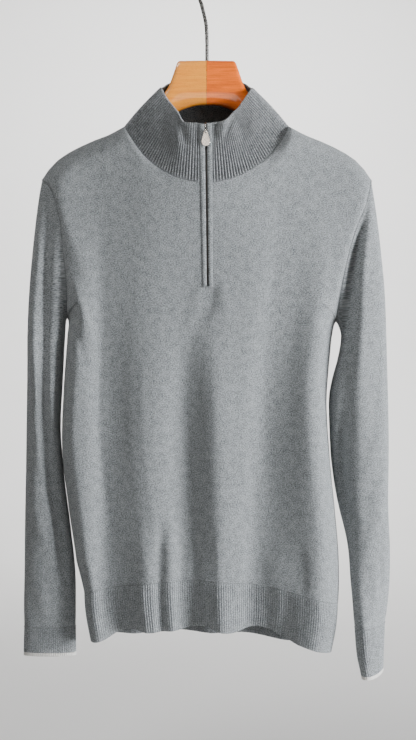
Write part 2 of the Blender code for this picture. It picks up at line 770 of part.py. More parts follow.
def hem_band(face, name, finish, points, rows, columns):
    """The rib sewn to a panel's lower edge, with the same columns."""
    seam = [points[(rows - 1) * columns + j] for j in range(columns)]
    folds = FRONT_FOLDS if face < 0 else BACK_FOLDS
    grid = []
    for share in HEM_ROWS:
        for j, head in enumerate(seam):
            z = head.z - HEM_BAND_HEIGHT * share
            left = read_table(LEFT_SIDE, "z", z, "x")
            right = read_table(RIGHT_SIDE, "z", z, "x")
            w = (head.x - seam[0].x) / (seam[-1].x - seam[0].x)
            x = lerp(head.x, lerp(left, right, w), share)
            y = head.y * (1 - HEM_PULL * math.sin(math.pi * share))
            y += face * 0.25 * share * fold_offset(folds, head.x, head.z) * math.sin(math.pi * w)
            y -= face * read_table(HEM_WAVE[face], "x", head.x, "tuck") * share ** 1.3
            z += read_table(HEM_WAVE[face], "x", head.x, "lift") * share ** 1.3
            if j in (0, columns - 1):
                y = face * SEAM_GAP / 2
            if share == 0:
                z -= SEAM_GAP / 2
            grid.append(Vector((x, y, z)))
    quads = grid_quads(len(HEM_ROWS), columns)
    if face > 0:
        quads = [tuple(reversed(quad)) for quad in quads]
    seams = {}
    last = (len(HEM_ROWS) - 1) * columns
    for j in range(1, columns - 1):
        seams[j] = flattened("z")
        seams[last + j] = flattened("z")
    for i in range(len(HEM_ROWS)):
        seams[i * columns] = fixed(Vector((-1, 0, 0)))
        seams[i * columns + columns - 1] = fixed(Vector((1, 0, 0)))
    return wall(name, grid, quads, BAND_WALL, finish, seams)


# ---------------------------------------------------------------- collar
COLLAR_ROWS = [0.0, 0.25, 0.5, 0.75, 1.0]
COLLAR_BULGE = 2.0
FRONT_RIBS = 37         # ribs from the zip to the side; the rest run on to the middle of the back


def collar_seam_lines():
    """For each side, the collar seam from the zip round to the middle of the back."""
    lines = {}
    for side in (-1, 1):
        front_half = list(reversed(neck_seam(side, -1)))
        back_half = neck_seam(side, 1)
        lines[side] = (front_half, back_half)
    return lines


def on_polyline(points, share):
    """A point at a share of a line's length, exactly on its straight stretches."""
    place = share * (len(points) - 1)
    i = min(int(place), len(points) - 2)
    return i, place - i


def collar_columns():
    """Base point, base normal and rim point of every half rib, from zip edge to zip edge."""
    half_ribs = COLLAR_RIBS // 2
    lines = collar_seam_lines()
    columns = {}
    for side in (-1, 1):
        rim = RIM_LEFT if side < 0 else RIM_RIGHT
        column = []
        for n in range(2 * half_ribs + 1):
            if n <= 2 * FRONT_RIBS:
                way = n / (2 * FRONT_RIBS)
                points, face = lines[side][0], -1
                i, f = on_polyline(points, way)
            else:
                way = 1 + (n - 2 * FRONT_RIBS) / (2 * (half_ribs - FRONT_RIBS))
                points, face = lines[side][1], 1
                i, f = on_polyline(points, way - 1)
            base = points[i].lerp(points[i + 1], f)
            out_a = neck_normal(side, points[i], face)
            out_b = neck_normal(side, points[i + 1], face)
            top = Vector([read_table(rim, "way", way, axis) for axis in ("x", "y", "z")])
            column.append((base, out_a.lerp(out_b, f), top))
        columns[side] = column
    return columns[-1] + list(reversed(columns[1]))[1:]


def collar(finish):
    """The stand collar: ribs raised in the outer points, over a plain inside with half the columns."""
    columns = collar_columns()
    count = len(columns)
    base_z = Vector((0, 0, SEAM_GAP / 2))
    plain = []
    for share in COLLAR_ROWS:
        for base, out, top in columns:
            p = (base + base_z).lerp(top, share)
            p += Vector((out.x, out.y, 0)).normalized() * COLLAR_BULGE * math.sin(math.pi * share)
            plain.append(p)
    quads = grid_quads(len(COLLAR_ROWS), count)
    normals = grid_normals(plain, quads)
    for v in range(count):
        normals[v] = columns[v][1].normalized()
    for i in range(len(COLLAR_ROWS)):
        for v in (i * count, i * count + count - 1):
            normals[v] = Vector((0, normals[v].y, normals[v].z)).normalized()
    outer = []
    for v, p in enumerate(plain):
        share = COLLAR_ROWS[v // count]
        edge = v % count in (0, count - 1)
        relief = 0 if edge else RIB_RELIEF / 2 * (1 if v % 2 != (v // count) % 2 else -1)
        outer.append(p + normals[v] * relief * (1 - 0.35 * share))
    inner_columns = list(range(0, count, 2))
    inner = []
    for i in range(len(COLLAR_ROWS)):
        for j in inner_columns:
            v = i * count + j
            inner.append(plain[v] - normals[v] * COLLAR_WALL)
    shift = len(outer)
    wide = len(inner_columns)
    faces = list(quads)
    for i in range(len(COLLAR_ROWS) - 1):
        for j in range(wide - 1):
            a = shift + i * wide + j
            faces.append((a + 1, a + wide + 1, a + wide, a))
    last = len(COLLAR_ROWS) - 1
    for j in range(wide - 1):
        low = (2 * j, 2 * j + 1, 2 * j + 2)
        faces.append((low[0], low[1], low[2], shift + j + 1, shift + j))
        high = [last * count + n for n in low]
        inside = shift + last * wide + j
        faces.append((high[2], high[1], high[0], inside, inside + 1))
    for i in range(last):
        a, b = i * count, (i + 1) * count
        c, d = shift + i * wide, shift + (i + 1) * wide
        faces.append((a, c, d, b))
        a, b = a + count - 1, b + count - 1
        c, d = c + wide - 1, d + wide - 1
        faces.append((b, d, c, a))
    add_body("collar", outer + inner, faces, finish)
    return plain, normals, count


# ---------------------------------------------------------------- zip
BINDING_BACK = -3.4     # the rolled bindings reach from behind the knit to just proud of it
BINDING_FRONT = 1.2
TAPE_FRONT = -3.7
TAPE_BACK = -4.5
CHAIN_HALF = 1.35       # the chain of teeth lies in the slot between the bindings
TAPE_OVERLAP = 3.5      # how far a tape runs behind the knit
TAPE_HALF_SLOT = 0.3


def zip_path(side, front, collar_grid):
    """Edge points and outward directions beside the zip, from the collar's rim to the slit's foot."""
    plain, normals, count = collar_grid
    column = 0 if side < 0 else count - 1
    path = []
    for i in reversed(range(len(COLLAR_ROWS))):
        path.append((plain[i * count + column], normals[i * count + column]))
    points, rows, columns, panel_normals, foot_row = front
    j = SHOULDER_STEPS[-1] + NECK_STEPS[-1] + (0 if side < 0 else 1)
    for i in range(1, foot_row + 1):
        path.append((points[i * columns + j], panel_normals[i * columns + j]))
    straight = []
    for p, n in path:
        edge = Vector((zip_middle(p.z) + side * slit_half(p.z), p.y, p.z))
        straight.append((edge, Vector((0, n.y, n.z)).normalized()))
    return straight


def strip(name, side, path, outline, finish):
    """A closed strip along a path: its outline gives (share across, height) at each point."""
    points = []
    for edge, out in path:
        for across, height in outline(slit_half(edge.z)):
            points.append(edge + Vector((-side * across, 0, 0)) + out * height)
    sides = len(outline(SLIT_HALF_TOP))
    faces = [tuple(quad) for quad in grid_quads(len(path), sides, closed=True)]
    last = (len(path) - 1) * sides
    faces.append(tuple(range(sides)))
    faces.append(tuple(last + k for k in reversed(range(sides))))
    if side > 0:
        faces = [tuple(reversed(face)) for face in faces]
    return add_body(name, points, faces, finish)


def binding_outline(half):
    near, far = SEAM_GAP, half - CHAIN_HALF
    shoulder = (far - near) * 0.25
    return [(near, BINDING_BACK), (near, 0.3), (near + shoulder, BINDING_FRONT),
            (far - shoulder, BINDING_FRONT), (far, 0.3), (far, BINDING_BACK)]


def tape_outline(half):
    return [(-TAPE_OVERLAP, TAPE_BACK), (-TAPE_OVERLAP, TAPE_FRONT),
            (half - TAPE_HALF_SLOT, TAPE_FRONT), (half - TAPE_HALF_SLOT, TAPE_BACK)]


# Slider, seen from the side: y and z off the pull's axis. The loop is its outline, the window the
# opening through which the pull's eye passes.
Corner = namedtuple("Corner", "y z")
SLIDER_LOOP = [
    Corner(7.0, 9.6), Corner(7.0, -3.4), Corner(-1.3, -3.4), Corner(-2.2, -2.3),
    Corner(-2.2, 0.5), Corner(-0.7, 5.0), Corner(0.6, 8.2), Corner(2.6, 9.6),
]
SLIDER_WINDOW = [
    Corner(3.1, 7.0), Corner(3.1, -1.4), Corner(-0.5, -1.4), Corner(-1.0, -1.0),
    Corner(-1.0, 0.6), Corner(0.5, 4.8), Corner(1.2, 6.4), Corner(2.0, 7.0),
]
SLIDER_HALF_WIDTH = 1.05
PULL_AXIS_Y = -50.4
PULL_AXIS_Z = -249.3

# Pull tab, right half seen from the front: x and z off its axis, and its half thickness there.
Edge = namedtuple("Edge", "x z half")
PULL_LOOP = [
    Edge(0.0, 0.62, 0.55), Edge(1.2, 0.62, 0.55), Edge(2.1, 0.3, 0.6), Edge(2.4, -1.5, 0.85),
    Edge(2.7, -4.3, 0.85), Edge(4.2, -9.0, 0.85), Edge(5.3, -13.5, 0.85), Edge(5.5, -16.5, 0.8),
    Edge(4.4, -19.6, 0.7), Edge(2.2, -21.1, 0.6), Edge(0.0, -21.4, 0.6),
]
PULL_EYE = [
    Edge(0.0, -0.58, 0.55), Edge(1.2, -0.58, 0.55), Edge(1.35, -0.8, 0.6), Edge(1.35, -1.6, 0.85),
    Edge(1.35, -2.4, 0.85), Edge(1.35, -3.2, 0.85), Edge(1.2, -3.8, 0.85), Edge(1.0, -4.05, 0.85),
    Edge(0.7, -4.2, 0.85), Edge(0.35, -4.3, 0.85), Edge(0.0, -4.3, 0.85),
]


def framed_plate(name, loops, finish):
    """A plate with one hole: four loops of points, front and back of its outline and of its hole."""
    front_outer, front_inner, back_inner, back_outer = loops
    count = len(front_outer)
    points = front_outer + front_inner + back_inner + back_outer
    faces = []
    for ring in range(4):
        for k in range(count):
            m = (k + 1) % count
            a, b = ring * count, ((ring + 1) % 4) * count
            faces.append((a + k, b + k, b + m, a + m))
    return add_body(name, points, faces, finish)


def zip_slider(finish):
    middle = zip_middle(PULL_AXIS_Z)
    loops = []
    for x, corners in ((1, SLIDER_LOOP), (1, SLIDER_WINDOW), (-1, SLIDER_WINDOW), (-1, SLIDER_LOOP)):
        loops.append([Vector((middle + x * SLIDER_HALF_WIDTH, PULL_AXIS_Y + c.y, PULL_AXIS_Z + c.z))
                      for c in corners])
    return framed_plate("zip_slider", loops, finish)


def zip_pull(finish):
    """The tab hangs from the slider; its origin lies on its axis."""
    loops = []
    for face, half in ((-1, PULL_LOOP), (-1, PULL_EYE), (1, PULL_EYE), (1, PULL_LOOP)):
        whole = [(e.x, e.z, e.half) for e in half] + [(-e.x, e.z, e.half) for e in reversed(half[1:-1])]
        loops.append([Vector((x, face * thick, z)) for x, z, thick in whole])
    tab = framed_plate("zip_pull", loops, finish)
    tab.location = Vector((zip_middle(PULL_AXIS_Z), PULL_AXIS_Y, PULL_AXIS_Z)) * MM
    return tab


# ---------------------------------------------------------------- hanger
ARM_SIDES = 16
MITRE_GAP = 0.3
HOOK_HOLE_CLEARANCE = 0.4
HOOK_HOLE_DEPTH = 26.0
HOOK_SIDES = 8


def hanger_arm(side, name, finish):
    """One shaped arm: squared at the block, rounding to an oval under the shoulder."""
    points = []
    for n, row in enumerate(ARM):
        squareness = lerp(0.42, 1.0, eased(row.x / 100.0))
        height = (row.top - row.foot) / 2
        for k in range(ARM_SIDES):
            angle = 2 * math.pi * k / ARM_SIDES + math.pi / ARM_SIDES
            c, s = math.cos(angle), math.sin(angle)
            y = math.copysign(abs(c) ** squareness, c) * row.half_depth
            z = math.copysign(abs(s) ** squareness, s) * height + (row.top + row.foot) / 2
            points.append(Vector((side * max(row.x, MITRE_GAP / 2), y, z)))
    faces = grid_quads(len(ARM), ARM_SIDES, closed=True)
    last = (len(ARM) - 1) * ARM_SIDES
    faces.append(tuple(range(ARM_SIDES)))
    faces.append(tuple(last + k for k in reversed(range(ARM_SIDES))))
    if side > 0:
        faces = [tuple(reversed(face)) for face in faces]
    return add_body(name, points, faces, finish)


def drill_for_hook(arms):
    """The hook's screw end sits in a hole drilled down the mitre."""
    top = HOOK_STEM[1]
    bpy.ops.mesh.primitive_cylinder_add(
        vertices=16, radius=(WIRE_RADIUS + HOOK_HOLE_CLEARANCE) * MM, depth=2 * HOOK_HOLE_DEPTH * MM,
        location=(top.x * MM, 0, top.z * MM))
    cutter = bpy.context.object
    cutter.name = "hook_hole_cutter"
    cutter.hide_render = True
    cutter.display_type = "WIRE"
    for arm in arms:
        cut = arm.modifiers.new("hook_hole", "BOOLEAN")
        cut.operation = "DIFFERENCE"
        cut.object = cutter


def hook_line():
    """The wire's centre line: up the stem, then round the hook to its free tip."""
    line = []
    for n in range(4 * (len(HOOK_STEM) - 1) + 1):
        line.append(Vector((smooth_value(HOOK_STEM, "x", n / 4), 0, smooth_value(HOOK_STEM, "z", n / 4))))
    centre = Vector((0, 0, WIRE_RADIUS - HOOK_RADIUS))
    first, last = math.radians(202), math.radians(-38)
    turns = 26
    for n in range(turns + 1):
        angle = lerp(first, last, n / turns)
        line.append(centre + Vector((math.cos(angle), 0, math.sin(angle))) * HOOK_RADIUS)
    return line


def hanger_hook(finish):
    line = hook_line()
    points = []
    for i, p in enumerate(line):
        ahead = (line[min(i + 1, len(line) - 1)] - line[max(i - 1, 0)]).normalized()
        across = Vector((ahead.z, 0, -ahead.x))
        for k in range(HOOK_SIDES):
            angle = 2 * math.pi * (k + 0.5) / HOOK_SIDES
            radius = WIRE_RADIUS / math.cos(math.pi / HOOK_SIDES)
            points.append(p + (across * math.cos(angle) + Vector((0, 1, 0)) * math.sin(angle)) * radius)
    faces = [tuple(reversed(quad)) for quad in grid_quads(len(line), HOOK_SIDES, closed=True)]
    last = (len(line) - 1) * HOOK_SIDES
    faces.append(tuple(reversed(range(HOOK_SIDES))))
    faces.append(tuple(last + k for k in range(HOOK_SIDES)))
    return add_body("hanger_hook", points, faces, finish)


# ---------------------------------------------------------------- the whole object
def build():
    clear_scene()
    knit = material("grey melange knit", 0.185, 0.195, 0.20, 0.95)
    rib = material("grey melange rib", 0.17, 0.18, 0.185, 0.95)
    white = material("white cuff tip", 0.75, 0.74, 0.70, 0.95)
    metal = material("polished nickel", 0.72, 0.72, 0.72, 0.2, 1.0)
    tape = material("zip tape", 0.09, 0.095, 0.10, 0.9)
    wood = material("varnished beech", 0.62, 0.27, 0.07, 0.25)
    wire = material("white coated wire", 0.80, 0.80, 0.78, 0.2)

    front = panel(-1, knit)
    back = panel(1, knit)
    hem_band(-1, "hem_rib_front", rib, *front[:3])
    hem_band(1, "hem_rib_back", rib, *back[:3])
    collar_grid = collar(rib)
    for side, word in ((-1, "left"), (1, "right")):
        sleeve(side, "sleeve_" + word, knit)
        cuff(side, ("cuff_" + word, "cuff_tip_" + word), (rib, white))
        path = zip_path(side, front, collar_grid)
        strip("zip_binding_" + word, side, path, binding_outline, rib)
        strip("zip_tape_" + word, side, path, tape_outline, tape)
    zip_slider(metal)
    zip_pull(metal)
    arms = [hanger_arm(-1, "hanger_arm_left", wood), hanger_arm(1, "hanger_arm_right", wood)]
    drill_for_hook(arms)
    hanger_hook(wire)


build()
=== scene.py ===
import math
from collections import namedtuple

import bpy
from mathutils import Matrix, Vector


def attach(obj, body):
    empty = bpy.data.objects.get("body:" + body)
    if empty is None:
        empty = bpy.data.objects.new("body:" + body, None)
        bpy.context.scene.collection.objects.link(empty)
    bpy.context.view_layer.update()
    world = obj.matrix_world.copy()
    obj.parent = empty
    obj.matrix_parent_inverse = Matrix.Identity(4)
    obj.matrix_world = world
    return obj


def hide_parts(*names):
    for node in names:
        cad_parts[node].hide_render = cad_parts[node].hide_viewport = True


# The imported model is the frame, in metres: origin at the hook's inner top, +Z up, front towards -Y.
# Tables below are in millimetres, and MM turns them into metres.
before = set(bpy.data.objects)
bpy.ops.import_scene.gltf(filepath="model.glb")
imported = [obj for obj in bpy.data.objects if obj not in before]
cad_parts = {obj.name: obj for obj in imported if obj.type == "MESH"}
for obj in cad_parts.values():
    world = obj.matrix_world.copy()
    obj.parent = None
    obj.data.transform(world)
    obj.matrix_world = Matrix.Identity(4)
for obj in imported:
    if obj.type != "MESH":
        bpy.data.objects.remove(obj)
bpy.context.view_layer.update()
MM = 0.001


# ---------------------------------------------------------------- studio
# A pale paper sweep stands well behind the garment, lit by a wide box of its own. A tall soft box low
# at the right grazes the cloth, so that its folds make light and dark, and weak ones lift the
# shoulders and the metal. The camera is level, straight in front, as in the photograph.
def linear(hex_colour):
    """An sRGB hex colour as the linear values that the shader wants."""
    values = [int(hex_colour[i:i + 2], 16) / 255 for i in (1, 3, 5)]
    return [v / 12.92 if v <= 0.04045 else ((v + 0.055) / 1.055) ** 2.4 for v in values] + [1.0]


def add_node(tree, kind, inputs=None, **settings):
    """Adds a node with its settings; inputs takes values or other nodes, by name or number."""
    made = tree.nodes.new("ShaderNode" + kind)
    for key, value in settings.items():
        setattr(made, key, value)
    fill(tree, made, inputs or {})
    return made


def fill(tree, made, inputs):
    """Sets or links a node's inputs; a node given as a value links its first output."""
    for key, value in inputs.items():
        if isinstance(value, bpy.types.Node):
            value = value.outputs[0]
        if isinstance(value, bpy.types.NodeSocket):
            tree.links.new(value, made.inputs[key])
        else:
            made.inputs[key].default_value = value


def new_material(name):
    made = bpy.data.materials.new(name)
    made.use_nodes = True
    return made, made.node_tree, made.node_tree.nodes["Principled BSDF"]


def new_piece(name, points, faces, finish, sharp=40):
    """A mesh from points in mm, smooth but for its edges sharper than that angle."""
    mesh = bpy.data.meshes.new(name)
    mesh.from_pydata([p * MM for p in points], [], faces)
    mesh.materials.append(finish)
    mesh.shade_smooth()
    mesh.set_sharp_from_angle(angle=math.radians(sharp))
    made = bpy.data.objects.new(name, mesh)
    bpy.context.scene.collection.objects.link(made)
    return made


# Matt paper: the faint mottling is its own fibre, far weaker than anything on the garment.
paper, tree, shader = new_material("matt_backdrop_paper")
mottle = add_node(tree, "TexNoise", {"Scale": 9.0, "Detail": 4.0})
tint = add_node(tree, "MixRGB", {0: mottle, 1: linear("#e9e8e6"), 2: linear("#eeedeb")})
fill(tree, shader, {"Base Color": tint, "Roughness": 0.95})

SWEEP_BACK, SWEEP_FLOOR, SWEEP_ROUND = 3900.0, -1180.0, 1200.0
outline = [Vector((0, -2400, SWEEP_FLOOR))]
for step in range(13):
    turn = math.pi / 2 * step / 12
    outline.append(Vector((0, SWEEP_BACK - SWEEP_ROUND + SWEEP_ROUND * math.sin(turn),
                           SWEEP_FLOOR + SWEEP_ROUND - SWEEP_ROUND * math.cos(turn))))
outline.append(Vector((0, SWEEP_BACK, 1500)))
points = [p + Vector((x, 0, 0)) for p in outline for x in (-3200, 3200)]
faces = [(2 * i, 2 * i + 1, 2 * i + 3, 2 * i + 2) for i in range(len(outline) - 1)]
sweep = new_piece("paper_sweep", points, faces, paper, sharp=60)


def soft_box(name, place, aim, width, height, power, colour):
    """A rectangular area light at a place in mm that faces a point."""
    light = bpy.data.lights.new(name, "AREA")
    light.shape = "RECTANGLE"
    light.size, light.size_y = width * MM, height * MM
    light.energy = power
    light.color = linear(colour)[:3]
    made = bpy.data.objects.new(name, light)
    made.location = Vector(place) * MM
    made.rotation_euler = (Vector(aim) - Vector(place)).to_track_quat("-Z", "Y").to_euler()
    bpy.context.scene.collection.objects.link(made)


soft_box("key_box", (2700, -960, -820), (0, 0, -600), 1100, 1700, 360.0, "#fbfcff")
soft_box("top_box", (-700, -700, 900), (0, 0, -200), 600, 600, 18.0, "#ffffff")
soft_box("front_box", (40, -2200, 90), (0, 0, -250), 520, 300, 1.6, "#fff4e8")
soft_box("backdrop_box", (0, 1900, 1300), (0, 3900, -500), 2600, 400, 120.0, "#ffffff")

world = bpy.data.worlds.new("studio")
bpy.context.scene.world = world
world.use_nodes = True
fill(world.node_tree, world.node_tree.nodes["Background"], {"Color": linear("#f4e2cf"), "Strength": 0.03})

camera = bpy.data.cameras.new("camera")
camera.lens = 54.05
camera.sensor_width = 36.0
camera_object = bpy.data.objects.new("camera", camera)
camera_object.location = (0.002, -1.5, -0.563)
camera_object.rotation_euler = (math.radians(90), 0, 0)
bpy.context.scene.collection.objects.link(camera_object)
bpy.context.scene.camera = camera_object


# ---------------------------------------------------------------- front of the body
# One panel of plain jersey, knitted to shape from a fine wool yarn of grey and white fibres. It is
# linked to the back, the sleeves, the collar and the hem rib, and slit down the middle for the zip.
SEAM_GAP = 0.3          # clear space between two sewn pieces
KNIT_WALL = 2.0         # single fabric, with its nap
NECK_HALF_WIDTH = 110.7
NECK_SIDE_Z = -235.0
NECK_FRONT_DROP = 82.5
NECK_BACK_RISE = 9.0
NECK_FRONT_DEPTH = 48.0
NECK_BACK_DEPTH = 38.0
ZIP_TOP_X, ZIP_TOP_Z = -1.0, -239.0
ZIP_FOOT_X, ZIP_FOOT_Z = 1.7, -453.3
SLIT_HALF_TOP, SLIT_HALF_FOOT = 9.0, 7.2
ARMHOLE_DEPTH = {-1: 24.0, 1: 22.0}
HEM_SEAM_Z = {-1: -861.0, 1: -876.0}
HEM_SEAM_RISE = {-1: 27.0, 1: 12.0}
SIDE_ROUNDING, ARMHOLE_ROUNDING = {-1: 22.0, 1: 34.0}, 28.0
UNDERARM_Z, UNDERARM_EASE = -440.0, 190.0
SHOULDER_ROUNDING, NECK_ROUNDING = 26.0, 60.0
SLEEVE_SIDES = 80       # points round an armhole; half of them run down the front
SHOULDER_STEPS = {-1: 40, 1: 32}
NECK_STEPS = {-1: 40, 1: 40}
SIDE_STEPS = 82

# The shoulder from the neck point to the armhole, the armhole seams, and the side seams down to the
# hem's lower edge, as the front shows them.
Outline = namedtuple("Outline", "x z")
SHOULDER = [
    Outline(110.7, -235.0), Outline(130.3, -245.8), Outline(150.5, -253.5), Outline(170.8, -262.5),
    Outline(186.0, -270.5), Outline(200.0, -280.0), Outline(212.0, -292.5), Outline(221.5, -306.5),
]
ARMHOLE = {
    -1: [Outline(-221.5, -306.5), Outline(-213.5, -313.0), Outline(-206.0, -325.0),
         Outline(-199.0, -347.0), Outline(-194.0, -370.0), Outline(-190.5, -405.0),
         Outline(-187.5, -433.0), Outline(-186.0, -460.0), Outline(-187.5, -492.0)],
    1: [Outline(221.5, -306.5), Outline(217.5, -325.0), Outline(212.5, -343.0),
        Outline(205.5, -360.0), Outline(198.0, -378.0), Outline(191.0, -400.0),
        Outline(184.0, -430.0), Outline(178.0, -462.0), Outline(174.0, -497.0)],
}
SIDE = {
    -1: [Outline(-187.5, -492.0), Outline(-185.4, -498.0), Outline(-187.0, -515.0),
         Outline(-191.6, -579.0), Outline(-194.4, -664.0), Outline(-187.0, -736.0),
         Outline(-174.8, -821.0), Outline(-164.7, -861.0), Outline(-155.9, -927.0)],
    1: [Outline(174.0, -497.0), Outline(171.0, -503.0), Outline(168.0, -520.0),
        Outline(163.6, -568.0), Outline(161.3, -610.0), Outline(166.1, -689.0),
        Outline(172.1, -748.0), Outline(177.5, -815.0), Outline(176.9, -875.0),
        Outline(168.1, -943.0)],
}

# How far the front stands off the middle plane, on the centre line and towards the sides.
Depth = namedtuple("Depth", "z centre edge")
FRONT_DEPTH = [
    Depth(-235.0, 48.0, 22.0), Depth(-317.0, 48.0, 25.0), Depth(-400.0, 47.0, 32.0),
    Depth(-500.0, 43.0, 37.0), Depth(-700.0, 39.0, 39.0), Depth(-945.0, 39.0, 39.0),
]

# Long folds: where each runs, how far it reaches to its left and right, how far it stands out.
Fold = namedtuple("Fold", "top_x foot_x top_z full_z left right lift")
FOLD_FOOT_Z = -945.0
FRONT_FOLDS = [
    Fold(-141, -129, -340, -600, 15, 29, -12.5),
    Fold(-76, -72, -440, -640, 26, 26, 3.0),
    Fold(-26, -22, -440, -640, 22, 18, -11.5),
    Fold(14, 18, -440, -640, 16, 20, 4.5),
    Fold(104, 58, -340, -640, 25, 46, -14.5),
    Fold(148, 147, -320, -560, 38, 18, 7.0),
    Fold(-86, -84, -740, -810, 8, 8, 3.5),
    Fold(-60, -64, -740, -810, 7, 7, -4.5),
    Fold(-44, -46, -740, -810, 8, 8, 3.5),
    Fold(-92, -90, -700, -830, 6, 6, -2.0),
    Fold(5, 6, -740, -830, 5, 6, -2.5),
    Fold(94, 96, -720, -830, 8, 8, 2.2),
]

# Short creases that pull from the underarms, the zip's foot and the hem seam.
Crease = namedtuple("Crease", "x z to_x to_z half_width lift")
FRONT_CREASES = [
    Crease(-186, -425, -150, -520, 7, 2.6),
    Crease(-184, -470, -158, -560, 6, -2.2),
    Crease(-200, -345, -168, -420, 9, 2.0),
    Crease(176, -440, 158, -540, 7, 2.6),
    Crease(172, -482, 150, -570, 6, -2.0),
    Crease(203, -352, 176, -430, 9, 2.4),
    Crease(1.7, -456, -5, -500, 7, -2.2),
    Crease(-12, -452, -30, -520, 9, 1.2),
    Crease(15, -452, 34, -520, 9, 1.2),
    Crease(-106, -846, -112, -800, 6, -2.4),
    Crease(-72, -842, -76, -800, 6, 2.0),
    Crease(-24, -838, -22, -806, 6, 1.8),
    Crease(44, -838, 50, -800, 6, 1.8),
    Crease(86, -842, 92, -806, 6, 1.8),
    Crease(128, -852, 126, -800, 6, -2.0),
]


def lerp(a, b, share):
    return a + (b - a) * share


def eased(share):
    share = min(max(share, 0.0), 1.0)
    return share * share * (3 - 2 * share)


def rounded(share):
    """A quarter circle's rise: 0 at the edge, 1 from share 1 on."""
    share = min(max(share, 0.0), 1.0)
    return math.sqrt(1 - (1 - share) ** 2)


def smooth_value(rows, column, place):
    """A column of a table at a fractional row, on a soft curve through its rows."""
    last = len(rows) - 1
    i = min(max(int(place), 0), last - 1)
    f = place - i
    before = getattr(rows[max(i - 1, 0)], column)
    here = getattr(rows[i], column)
    there = getattr(rows[i + 1], column)
    after = getattr(rows[min(i + 2, last)], column)
    slope_here, slope_there, rise = (there - before) / 2, (after - here) / 2, there - here
    return here + f * (slope_here + f * (3 * rise - 2 * slope_here - slope_there
                                         + f * (slope_here + slope_there - 2 * rise)))


def place_of(rows, column, value):
    """The fractional row at which a falling or rising column takes a value."""
    for i in range(len(rows) - 1):
        a = getattr(rows[i], column)
        b = getattr(rows[i + 1], column)
        if min(a, b) <= value <= max(a, b):
            return i + (value - a) / (b - a)
    first = getattr(rows[0], column)
    return 0.0 if abs(value - first) < abs(value - getattr(rows[-1], column)) else len(rows) - 1.0


def read_table(rows, key, value, column):
    return smooth_value(rows, column, place_of(rows, key, value))


def resample(points, steps):
    """The same curve with its points spread at equal lengths."""
    lengths = [0.0]
    for a, b in zip(points, points[1:]):
        lengths.append(lengths[-1] + (b - a).length)
    spread = []
    i = 0
    for step in range(steps + 1):
        target = lengths[-1] * step / steps
        while i < len(points) - 2 and lengths[i + 1] < target:
            i += 1
        share = (target - lengths[i]) / (lengths[i + 1] - lengths[i])
        spread.append(points[i].lerp(points[i + 1], min(share, 1.0)))
    return spread


def zip_middle(z):
    return lerp(ZIP_TOP_X, ZIP_FOOT_X, (z - ZIP_TOP_Z) / (ZIP_FOOT_Z - ZIP_TOP_Z))


def slit_half(z):
    return lerp(SLIT_HALF_TOP, SLIT_HALF_FOOT, (z - ZIP_TOP_Z) / (ZIP_FOOT_Z - ZIP_TOP_Z))


def neck_point(side, angle, face):
    """A point of the collar seam: angle 0 at the side, 90 degrees at the middle."""
    across = math.cos(angle) * NECK_HALF_WIDTH * side
    inwards = math.sin(angle)
    if face < 0:
        return Vector((across, -NECK_FRONT_DEPTH * inwards, NECK_SIDE_Z - NECK_FRONT_DROP * inwards ** 1.5))
    return Vector((across, NECK_BACK_DEPTH * inwards, NECK_SIDE_Z + NECK_BACK_RISE * inwards))


def neck_seam(side, face):
    """Half of the collar seam, from the side to the zip's edge or to the middle of the back."""
    curve = [neck_point(side, math.pi / 2 * n / 400, face) for n in range(401)]
    if face < 0:
        edge = zip_middle(curve[-1].z) + side * slit_half(curve[-1].z)
        curve = [p for p in curve if (p.x - edge) * side > 0]
        curve.append(Vector((edge, curve[-1].y, curve[-1].z)))
    return resample(curve, NECK_STEPS[face])


def neck_normal(side, point, face):
    """Out of the cloth at the collar seam."""
    spread = min((1 - abs(point.x) / NECK_HALF_WIDTH) * 3, 1.0)
    steep = Vector((side * 0.6, 0, 0.8))
    flat = Vector((0, face, 0.12))
    return (steep * (1 - spread) + flat * spread).normalized()


def loop_sine(angle):
    """A sine with fuller shoulders, which gives a sleeve's section its flattened sides."""
    s = math.sin(angle)
    return math.copysign(abs(s) ** 0.8, s) if abs(s) > 1e-9 else 0.0


def armhole_loop(side, sides=SLEEVE_SIDES):
    """Points round an armhole, starting on the shoulder and going down the front."""
    table = ARMHOLE[side]
    loop = []
    for k in range(sides):
        angle = 2 * math.pi * k / sides
        z = lerp(table[0].z, table[-1].z, (1 - math.cos(angle)) / 2)
        depth = ARMHOLE_DEPTH[-1 if angle < math.pi else 1]
        loop.append(Vector((read_table(table, "z", z, "x"), -depth * loop_sine(angle), z)))
    return loop


def armhole_normals(side):
    """Out of the cloth round an armhole: up at the shoulder, to the front or back, down below."""
    above = Vector((side * 0.75, 0, 0.66))
    below = Vector((0, 0, -1))
    normals = []
    for k in range(SLEEVE_SIDES):
        angle = 2 * math.pi * k / SLEEVE_SIDES
        lift = math.cos(angle)
        ahead = Vector((0, -math.sin(angle), 0))
        normals.append(((above if lift > 0 else below) * abs(lift) ** 3 + ahead).normalized())
    return normals


def side_line(side, face):
    """A panel's side edge: down the armhole, then down the side seam."""
    half = SLEEVE_SIDES // 2
    loop = armhole_loop(side)
    line = [loop[k if face < 0 else (SLEEVE_SIDES - k) % SLEEVE_SIDES] for k in range(half + 1)]
    start = line[-1].z
    for step in range(1, SIDE_STEPS + 1):
        z = lerp(start, HEM_SEAM_Z[side], step / SIDE_STEPS)
        line.append(Vector((read_table(SIDE[side], "z", z, "x"), 0, z)))
    return line


def top_line(face):
    """A panel's upper edge: shoulder, neckline, shoulder."""
    halves = []
    for side in (-1, 1):
        slope = resample([Vector((side * row.x, 0, row.z)) for row in SHOULDER], SHOULDER_STEPS[face])
        halves.append(list(reversed(slope)) + neck_seam(side, face)[1:])
    right = list(reversed(halves[1]))
    return halves[0] + (right if face < 0 else right[1:])


